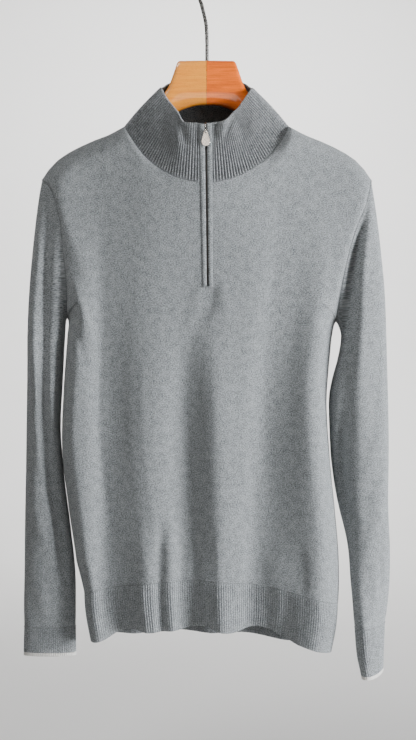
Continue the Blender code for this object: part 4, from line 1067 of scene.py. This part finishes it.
columns = collar_columns()
count = len(columns)
collar_plain = []
for i in range(COLLAR_ROWS):
    share = i / (COLLAR_ROWS - 1)
    for base, out, top, side in columns:
        p = (base + Vector((0, 0, SEAM_GAP / 2))).lerp(top, share)
        flat_out = Vector((out.x, out.y, 0)).normalized()
        p += flat_out * COLLAR_BULGE * math.sin(math.pi * share)
        if out.y < 0 and 0 < share:
            buckle = fold_offset([], COLLAR_CREASES[side], p.x, p.z)
            p += flat_out * buckle * min(share * 3, 1) * eased(-out.y * 3)
        collar_plain.append(p)
quads = grid_quads(COLLAR_ROWS, count)
collar_normals = grid_normals(collar_plain, quads)
for v in range(count):
    collar_normals[v] = columns[v][1].normalized()
for i in range(COLLAR_ROWS):
    for v in (i * count, i * count + count - 1):
        collar_normals[v] = Vector((0, collar_normals[v].y, collar_normals[v].z)).normalized()
raised = []
for v, p in enumerate(collar_plain):
    share = (v // count) / (COLLAR_ROWS - 1)
    wave = math.cos(2 * math.pi * (v % count) / RIB_POINTS + math.pi)
    fade = 0 if v % count in (0, count - 1) else 1 - 0.6 * share
    raised.append(p + collar_normals[v] * math.copysign(abs(wave) ** 0.7, wave) * COLLAR_RELIEF / 2 * fade)
seams = {v: fixed(collar_normals[v]) for i in range(COLLAR_ROWS) for v in (i * count, i * count + count - 1)}
seams.update({v: fixed(collar_normals[v]) for v in range(count)})
last = (COLLAR_ROWS - 1) * count
places = grid_places(collar_plain, COLLAR_ROWS, count, count // 2)
collar, _ = wall("collar_rib", raised, quads, COLLAR_WALL, collar_knit, seams, places,
                 range(last, last + count), collar_plain)
as_cloth(collar, "collar")


# ---------------------------------------------------------------- zip
# A closed metal zip in the slit: two woven tapes behind the knit, a chain of small dark nickel
# teeth, a rolled knit binding along each side, and at the top the slider with its pear-shaped pull.
BINDING_BACK, BINDING_FRONT = -3.4, 1.2
TAPE_BACK, TAPE_FRONT = -4.5, -3.7
CHAIN_HALF = 1.35       # the slot between the bindings, which the teeth fill
TAPE_OVERLAP = 3.5      # how far a tape runs behind the knit
TAPE_HALF_SLOT = 0.3


def zip_path(side):
    """Edge points and outward directions beside the zip, from the collar's rim to the slit's foot."""
    column = 0 if side < 0 else count - 1
    path = [(collar_plain[i * count + column], collar_normals[i * count + column])
            for i in reversed(range(0, COLLAR_ROWS, 2))]
    points, _, wide = front_grid
    j = FRONT_MIDDLE + (0 if side < 0 else 1)
    path += [(points[i * wide + j], front_normals[i * wide + j]) for i in range(1, slit_foot + 1)]
    return [(Vector((zip_middle(p.z) + side * slit_half(p.z), p.y, p.z)), Vector((0, n.y, n.z)).normalized())
            for p, n in path]


def rod_faces(rows, sides):
    """A closed rod's faces: its rings joined, and both ends."""
    last = (rows - 1) * sides
    ends = [tuple(range(sides)), tuple(last + k for k in reversed(range(sides)))]
    return grid_quads(rows, sides, closed=True) + ends


def strip(name, side, path, outline, finish, sharp=40):
    """A closed strip along the zip; its outline gives how far across and how high, at each point."""
    points, places = [], []
    run = 0.0
    for n, (edge, out) in enumerate(path):
        run += (edge - path[n - 1][0]).length if n else 0
        for across, height in outline(slit_half(edge.z)):
            points.append(edge + Vector((-side * across, 0, 0)) + out * height)
            places.append((across + height, -run))
    faces = rod_faces(len(path), len(outline(SLIT_HALF_TOP)))
    made = new_piece(name, points, turned(faces) if side > 0 else faces, finish, sharp)
    lay_places(made, places)
    return made


def binding_outline(half):
    """A roll: straight sides, and a round front of nine points."""
    near, far = SEAM_GAP, half - CHAIN_HALF
    middle, reach = (near + far) / 2, (far - near) / 2
    turns = [math.pi * n / 8 for n in range(9)]
    front = [(middle - reach * math.cos(turn), 0.1 + (BINDING_FRONT - 0.1) * math.sin(turn)) for turn in turns]
    return [(near, BINDING_BACK)] + front + [(far, BINDING_BACK)]


def tape_outline(half):
    return [(-TAPE_OVERLAP, TAPE_BACK), (-TAPE_OVERLAP, TAPE_FRONT),
            (half - TAPE_HALF_SLOT, TAPE_FRONT), (half - TAPE_HALF_SLOT, TAPE_BACK)]


# Woven polyester tape: plain weave, one thread about every 0.5 mm, with a dull plastic sheen.
tape_cloth, tree, shader = new_material("dark_woven_zip_tape")
place = add_node(tree, "UVMap", uv_map="knit_mm")
weave = add_node(tree, "TexWave", {"Vector": place, "Scale": 0.63, "Distortion": 0.6}, wave_type="BANDS",
                 bands_direction="Y")
thread = add_node(tree, "MixRGB", {0: weave, 1: linear("#46494c"), 2: linear("#63666a")})
bump = add_node(tree, "Bump", {"Height": weave, "Strength": 0.5, "Distance": 0.0002})
fill(tree, shader, {"Base Color": thread, "Roughness": 0.8, "Normal": bump})

# Nickel-plated brass: bright, with the fine scatter of tumbled parts, and painted shade in its recesses.
nickel, tree, shader = new_material("polished_nickel_plate")
spot = add_node(tree, "TexNoise", {"Scale": 900.0, "Detail": 3.0})
rough = add_node(tree, "MapRange", {0: spot, 3: 0.14, 4: 0.30})
cavity = add_node(tree, "NewGeometry")
# Painted shade: the metal turns darker where the mesh's pointiness is low.
painted_recess_shade = add_node(tree, "MapRange", {0: cavity.outputs["Pointiness"], 1: 0.44, 2: 0.53})
metal = add_node(tree, "MixRGB", {0: painted_recess_shade, 1: linear("#9c9a96"), 2: linear("#dcdad6")})
fill(tree, shader, {"Base Color": metal, "Metallic": 1.0, "Roughness": rough})

# The teeth are the same alloy with a dark antique finish.
dark_nickel, tree, shader = new_material("antique_nickel_teeth")
spot = add_node(tree, "TexNoise", {"Scale": 600.0, "Detail": 2.0})
metal = add_node(tree, "MixRGB", {0: spot, 1: linear("#4a4846"), 2: linear("#7c7975")})
fill(tree, shader, {"Base Color": metal, "Metallic": 1.0, "Roughness": 0.42})

zip_paths = {side: zip_path(side) for side in (-1, 1)}
for side, word in ((-1, "left"), (1, "right")):
    binding = strip("zip_binding_roll_" + word, side, zip_paths[side], binding_outline, rib_knit, sharp=70)
    tape = strip("zip_tape_woven_" + word, side, zip_paths[side], tape_outline, tape_cloth)
    stands_for(binding, "zip_binding_" + word)
    stands_for(tape, "zip_tape_" + word)

# One tooth every 1.6 mm on each side, the two sides meshing.
TOOTH_STEP = 1.6
TOOTH = [(-0.5, -0.5), (-0.5, 0.5), (0.9, 0.36), (1.18, 0.3), (1.18, -0.3), (0.9, -0.36)]
points, faces = [], []
line = [left[0].lerp(right[0], 0.5) for left, right in zip(zip_paths[-1], zip_paths[1])]
outs = [left[1] for left in zip_paths[-1]]
steps = int(sum((b - a).length for a, b in zip(line, line[1:])) / TOOTH_STEP * 2)
even = resample(line, steps)
even_out = resample(outs, steps)
for n in range(4, steps - 2):
    side = 1 if n % 2 else -1
    middle = Vector((zip_middle(even[n].z), even[n].y, even[n].z))
    out = even_out[n].normalized()
    down = out.cross(Vector((1, 0, 0)))
    first = len(points)
    for lift, narrow in ((-2.6, 1.0), (-0.7, 0.8)):
        for across, along in TOOTH:
            aside = Vector((side * across * narrow, 0, 0))
            points.append(middle + aside + down * along * narrow * 1.1 + out * lift)
    faces += [[first + k, first + (k + 1) % 6, first + 6 + (k + 1) % 6, first + 6 + k] for k in range(6)]
    faces += [[first + k for k in reversed(range(6))], [first + 6 + k for k in range(6)]]
teeth = new_piece("zip_teeth", points, faces, dark_nickel, sharp=30)
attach(teeth, "garment")

# Slider, seen from the side: y and z off the pull's axis. Its bridge is a stirrup with a window,
# through which the pull's eye passes, so it is rounded all over like the cast part.
Corner = namedtuple("Corner", "y z")
SLIDER_LOOP = [
    Corner(7.0, 9.6), Corner(7.0, -3.4), Corner(-1.3, -3.4), Corner(-2.2, -2.3),
    Corner(-2.2, 0.5), Corner(-0.7, 5.0), Corner(0.6, 8.2), Corner(2.6, 9.6),
]
SLIDER_WINDOW = [
    Corner(3.1, 7.0), Corner(3.1, -1.4), Corner(-0.5, -1.4), Corner(-1.0, -1.0),
    Corner(-1.0, 0.6), Corner(0.5, 4.8), Corner(1.2, 6.4), Corner(2.0, 7.0),
]
SLIDER_HALF_WIDTH = 1.05
PULL_AXIS = Vector((zip_middle(-249.3), -50.4, -249.3))

# Pull tab, right half seen from the front: x and z off its axis, and its half thickness there.
Edge = namedtuple("Edge", "x z half")
PULL_LOOP = [
    Edge(0.0, 0.62, 0.55), Edge(1.2, 0.62, 0.55), Edge(2.1, 0.3, 0.6), Edge(2.4, -1.5, 0.85),
    Edge(2.7, -4.3, 0.85), Edge(4.2, -9.0, 0.85), Edge(5.3, -13.5, 0.85), Edge(5.5, -16.5, 0.8),
    Edge(4.4, -19.6, 0.7), Edge(2.2, -21.1, 0.6), Edge(0.0, -21.4, 0.6),
]
PULL_EYE = [
    Edge(0.0, -0.58, 0.55), Edge(1.2, -0.58, 0.55), Edge(1.35, -0.8, 0.6), Edge(1.35, -1.6, 0.85),
    Edge(1.35, -2.4, 0.85), Edge(1.35, -3.2, 0.85), Edge(1.2, -3.8, 0.85), Edge(1.0, -4.05, 0.85),
    Edge(0.7, -4.2, 0.85), Edge(0.35, -4.3, 0.85), Edge(0.0, -4.3, 0.85),
]


def framed_plate(name, loops, finish, bevel):
    """A cast plate with one hole, from the front and back of its outline and of its hole."""
    size = len(loops[0])
    faces = []
    for ring in range(4):
        a, b = ring * size, (ring + 1) % 4 * size
        for k in range(size):
            m = (k + 1) % size
            faces.append((a + k, b + k, b + m, a + m))
    made = new_piece(name, [p for loop in loops for p in loop], faces, finish, sharp=50)
    softer = made.modifiers.new("cast_edges", "BEVEL")
    softer.width, softer.segments, softer.limit_method = bevel * MM, 3, "ANGLE"
    softer.angle_limit = math.radians(35)
    return made


loops = [[PULL_AXIS + Vector((x * SLIDER_HALF_WIDTH, c.y, c.z)) for c in corners]
         for x, corners in ((1, SLIDER_LOOP), (1, SLIDER_WINDOW), (-1, SLIDER_WINDOW), (-1, SLIDER_LOOP))]
slider = framed_plate("zip_slider_bridge", loops, nickel, 0.28)
stands_for(slider, "zip_slider")
loops = []
for face, half in ((-1, PULL_LOOP), (-1, PULL_EYE), (1, PULL_EYE), (1, PULL_LOOP)):
    whole = [(e.x, e.z, e.half) for e in half] + [(-e.x, e.z, e.half) for e in reversed(half[1:-1])]
    loops.append([PULL_AXIS + Vector((x, face * thick, z)) for x, z, thick in whole])
pull = framed_plate("zip_pull_tab", loops, nickel, 0.3)
stands_for(pull, "zip_pull", "pull")


# ---------------------------------------------------------------- linked seams
# The knitted pieces are linked loop by loop with the body's own yarn. Each seam shows as a fine
# corded line on the fold between two pieces, and the bindings and the zip's foot are stitched down.
SEAM_CORD = 0.75        # radius of the rolled edge that the linking leaves


def cord_mesh(name, lines, radius, finish, body="garment"):
    """Round cords along lines of points in mm, in one mesh, with their length laid along the yarn."""
    points, faces, places = [], [], []
    sides = 6
    for line in lines:
        run = 0.0
        for i, p in enumerate(line):
            ahead = (line[min(i + 1, len(line) - 1)] - line[max(i - 1, 0)]).normalized()
            run += (p - line[i - 1]).length if i else 0
            first = ahead.cross(Vector((0, 0, 1)) if abs(ahead.z) < 0.9 else Vector((0, 1, 0))).normalized()
            second = ahead.cross(first)
            for k in range(sides):
                turn = 2 * math.pi * k / sides
                points.append(p + (first * math.cos(turn) + second * math.sin(turn)) * radius)
                places.append((run, radius * turn))
        start = len(points) - len(line) * sides
        faces += [[start + v for v in face] for face in rod_faces(len(line), sides)]
    made = new_piece(name, points, faces, finish, sharp=70)
    lay_places(made, places)
    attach(made, body)
    return made


half = SLEEVE_SIDES // 2
front_points, front_rows, front_columns = front_grid
back_points, _, back_columns = back_grid
seam_lines = []
for side, column in ((-1, 0), (1, front_columns - 1)):
    loop = armhole_loop(side)
    seam_lines.append([p + Vector((side * 0.2, 0, 0)) for p in loop + loop[:1]])
    seam_lines.append([front_points[i * front_columns + column].copy() for i in range(half, front_rows)])
neck_start, neck_end = SHOULDER_STEPS[-1], front_columns - SHOULDER_STEPS[-1]
for line in (front_points[:neck_start + 1], front_points[neck_end - 1:front_columns],
             front_points[neck_start:FRONT_MIDDLE + 1], front_points[FRONT_MIDDLE + 1:neck_end],
             back_points[SHOULDER_STEPS[1]:back_columns - SHOULDER_STEPS[1]],
             front_points[-front_columns:], back_points[-back_columns:]):
    seam_lines.append([p.copy() for p in line])
for line in seam_lines:
    for p in line:
        p.y += SEAM_CORD * 0.35 * (1 if p.y < 0 else -1 if p.y > 0 else 0)
links = cord_mesh("linked_seams", seam_lines, SEAM_CORD, rib_knit)

cuff_seams = []
for side in (-1, 1):
    ring = sleeve_ring(side, SEAM_ROW[side], 120)
    cuff_seams.append(ring + ring[:1])
cuff_links = cord_mesh("cuff_seams", cuff_seams, SEAM_CORD, rib_knit)

# The bindings are stitched to the front and end under a short bar at the zip's foot.
foot_row = [zip_paths[side][-1] for side in (-1, 1)]
foot_bar = []
for n in range(9):
    p = foot_row[0][0].lerp(foot_row[1][0], n / 8)
    foot_bar.append(p + Vector((0, -0.9, -0.9)))
bar = cord_mesh("zip_foot_bar", [foot_bar], 0.8, rib_knit)


# ---------------------------------------------------------------- hanger
# Two shaped arms of solid beech, glued at a mitre under the hook, stained orange and varnished to a
# gloss. One half is lighter than the other.
Arm = namedtuple("Arm", "x top foot half_depth")
ARM = [
    Arm(0.0, -146.0, -205.3, 7.2), Arm(14.0, -146.0, -206.0, 7.2), Arm(30.0, -146.2, -210.5, 7.2),
    Arm(38.5, -147.5, -214.5, 7.2), Arm(43.5, -160.0, -218.0, 7.3), Arm(51.0, -180.0, -223.5, 7.6),
    Arm(62.0, -196.0, -231.0, 8.0), Arm(80.0, -216.0, -243.0, 9.0), Arm(100.0, -236.0, -258.0, 10.0),
    Arm(122.0, -251.0, -272.5, 11.0), Arm(145.0, -260.5, -285.5, 12.0), Arm(168.0, -270.5, -297.0, 12.5),
    Arm(186.0, -282.0, -306.0, 12.5), Arm(197.0, -293.0, -310.0, 10.5), Arm(202.0, -300.5, -306.5, 6.0),
]
ARM_SIDES = 32
MITRE_GAP = 0.3
HOOK_HOLE_RADIUS, HOOK_HOLE_DEPTH = 2.8, 26.0


def beech(name, light, deep, lean):
    """Stained beech: rings cut lengthwise give streaks along the board, with short dark flecks of the
    wood's rays, under a thick clear varnish."""
    made, tree, shader = new_material(name)
    place = add_node(tree, "TexCoord").outputs["Object"]
    board = add_node(tree, "Mapping", {"Vector": place, "Rotation": (0, lean, 0), "Scale": (26, 60, 420)})
    ring = add_node(tree, "TexNoise", {"Vector": board, "Scale": 1.0, "Detail": 5.0, "Roughness": 0.6,
                                       "Distortion": 0.4})
    ray_place = add_node(tree, "Mapping", {"Vector": place, "Rotation": (0, lean, 0),
                                           "Scale": (420, 1400, 1900)})
    ray = add_node(tree, "TexNoise", {"Vector": ray_place, "Scale": 1.0, "Detail": 1.0})
    fleck = add_node(tree, "MapRange", {0: ray, 1: 0.60, 2: 0.68, 3: 1.0, 4: 0.80})
    band = add_node(tree, "MapRange", {0: ring, 1: 0.32, 2: 0.70})
    stain = add_node(tree, "MixRGB", {0: band, 1: linear(deep), 2: linear(light)})
    colour = add_node(tree, "MixRGB", {0: 1.0, 1: stain, 2: fleck}, blend_type="MULTIPLY")
    bump = add_node(tree, "Bump", {"Height": ring, "Strength": 0.08, "Distance": 0.0004})
    fill(tree, shader, {"Base Color": colour, "Roughness": 0.42, "Normal": bump, "Coat Weight": 1.0,
                        "Coat Roughness": 0.08, "Coat IOR": 1.5})
    return made


beech_light = beech("stained_beech_light_half", "#ffa833", "#ef8c20", math.radians(38))
beech_deep = beech("stained_beech_deep_half", "#ff7a10", "#d25a04", math.radians(-38))

bpy.ops.mesh.primitive_cylinder_add(vertices=24, radius=HOOK_HOLE_RADIUS * MM, depth=2 * HOOK_HOLE_DEPTH * MM,
                                    location=(0.7 * MM, 0, -146.0 * MM))
drill = bpy.context.object
for side, word, finish in ((-1, "left", beech_light), (1, "right", beech_deep)):
    points = []
    places = [n / 4 for n in range(4 * (len(ARM) - 1) + 1)]
    for place in places:
        x, top, foot, deep = (smooth_value(ARM, column, place) for column in Arm._fields)
        squareness = lerp(0.42, 1.0, eased(x / 100.0))
        for k in range(ARM_SIDES):
            angle = 2 * math.pi * (k + 0.5) / ARM_SIDES
            c, s = math.cos(angle), math.sin(angle)
            y = math.copysign(abs(c) ** squareness, c) * deep
            z = math.copysign(abs(s) ** squareness, s) * (top - foot) / 2 + (top + foot) / 2
            points.append(Vector((side * max(x, MITRE_GAP / 2), y, z)))
    faces = rod_faces(len(places), ARM_SIDES)
    arm = new_piece("hanger_beech_" + word, points, turned(faces) if side > 0 else faces, finish, sharp=38)
    cut = arm.modifiers.new("hook_hole", "BOOLEAN")
    cut.operation, cut.object = "DIFFERENCE", drill
    bpy.context.view_layer.objects.active = arm
    bpy.ops.object.modifier_apply(modifier=cut.name)
    stands_for(arm, "hanger_arm_" + word)
bpy.data.objects.remove(drill, do_unlink=True)


# ---------------------------------------------------------------- hook
# Plated steel wire 4.8 mm thick, bent round and screwed into the arms at the mitre. The photograph
# shows only its stem; the round above is the plain shape of such a hook.
WIRE_RADIUS, HOOK_RADIUS = 2.4, 25.0
WIRE_SIDES = 24
Bend = namedtuple("Bend", "x z")
HOOK_STEM = [
    Bend(0.7, -171.0), Bend(0.7, -146.0), Bend(0.4, -113.0), Bend(-0.6, -98.0),
    Bend(-3.2, -84.0), Bend(-8.0, -66.0), Bend(-15.5, -50.0), Bend(-22.3, -36.0),
]

# Bright zinc-nickel plate over drawn wire: near a mirror, with fine marks drawn along the wire.
wire_metal, tree, shader = new_material("bright_plated_wire")
place = add_node(tree, "TexCoord").outputs["Object"]
mark = add_node(tree, "TexNoise", {"Vector": place, "Scale": 260.0, "Detail": 3.0})
rough = add_node(tree, "MapRange", {0: mark, 3: 0.20, 4: 0.34})
plate = add_node(tree, "MixRGB", {0: mark, 1: linear("#d6d6d4"), 2: linear("#f0f0ee")})
fill(tree, shader, {"Base Color": plate, "Metallic": 1.0, "Roughness": rough})

line = [Vector((smooth_value(HOOK_STEM, "x", n / 8), 0, smooth_value(HOOK_STEM, "z", n / 8)))
        for n in range(8 * (len(HOOK_STEM) - 1) + 1)]
centre = Vector((0, 0, WIRE_RADIUS - HOOK_RADIUS))
for n in range(73):
    angle = lerp(math.radians(202), math.radians(-38), n / 72)
    line.append(centre + Vector((math.cos(angle), 0, math.sin(angle))) * HOOK_RADIUS)
points = []
for i, p in enumerate(line):
    ahead = (line[min(i + 1, len(line) - 1)] - line[max(i - 1, 0)]).normalized()
    across = Vector((ahead.z, 0, -ahead.x))
    from_end = len(line) - 1 - i
    radius = WIRE_RADIUS * (1 if from_end > 2 else (0.62, 0.86, 0.97)[from_end])
    for k in range(WIRE_SIDES):
        angle = 2 * math.pi * k / WIRE_SIDES
        points.append(p + (across * math.cos(angle) + Vector((0, 1, 0)) * math.sin(angle)) * radius)
faces = turned(rod_faces(len(line), WIRE_SIDES))
hook = new_piece("hanger_hook_wire", points, faces, wire_metal, sharp=45)
stands_for(hook, "hanger_hook")
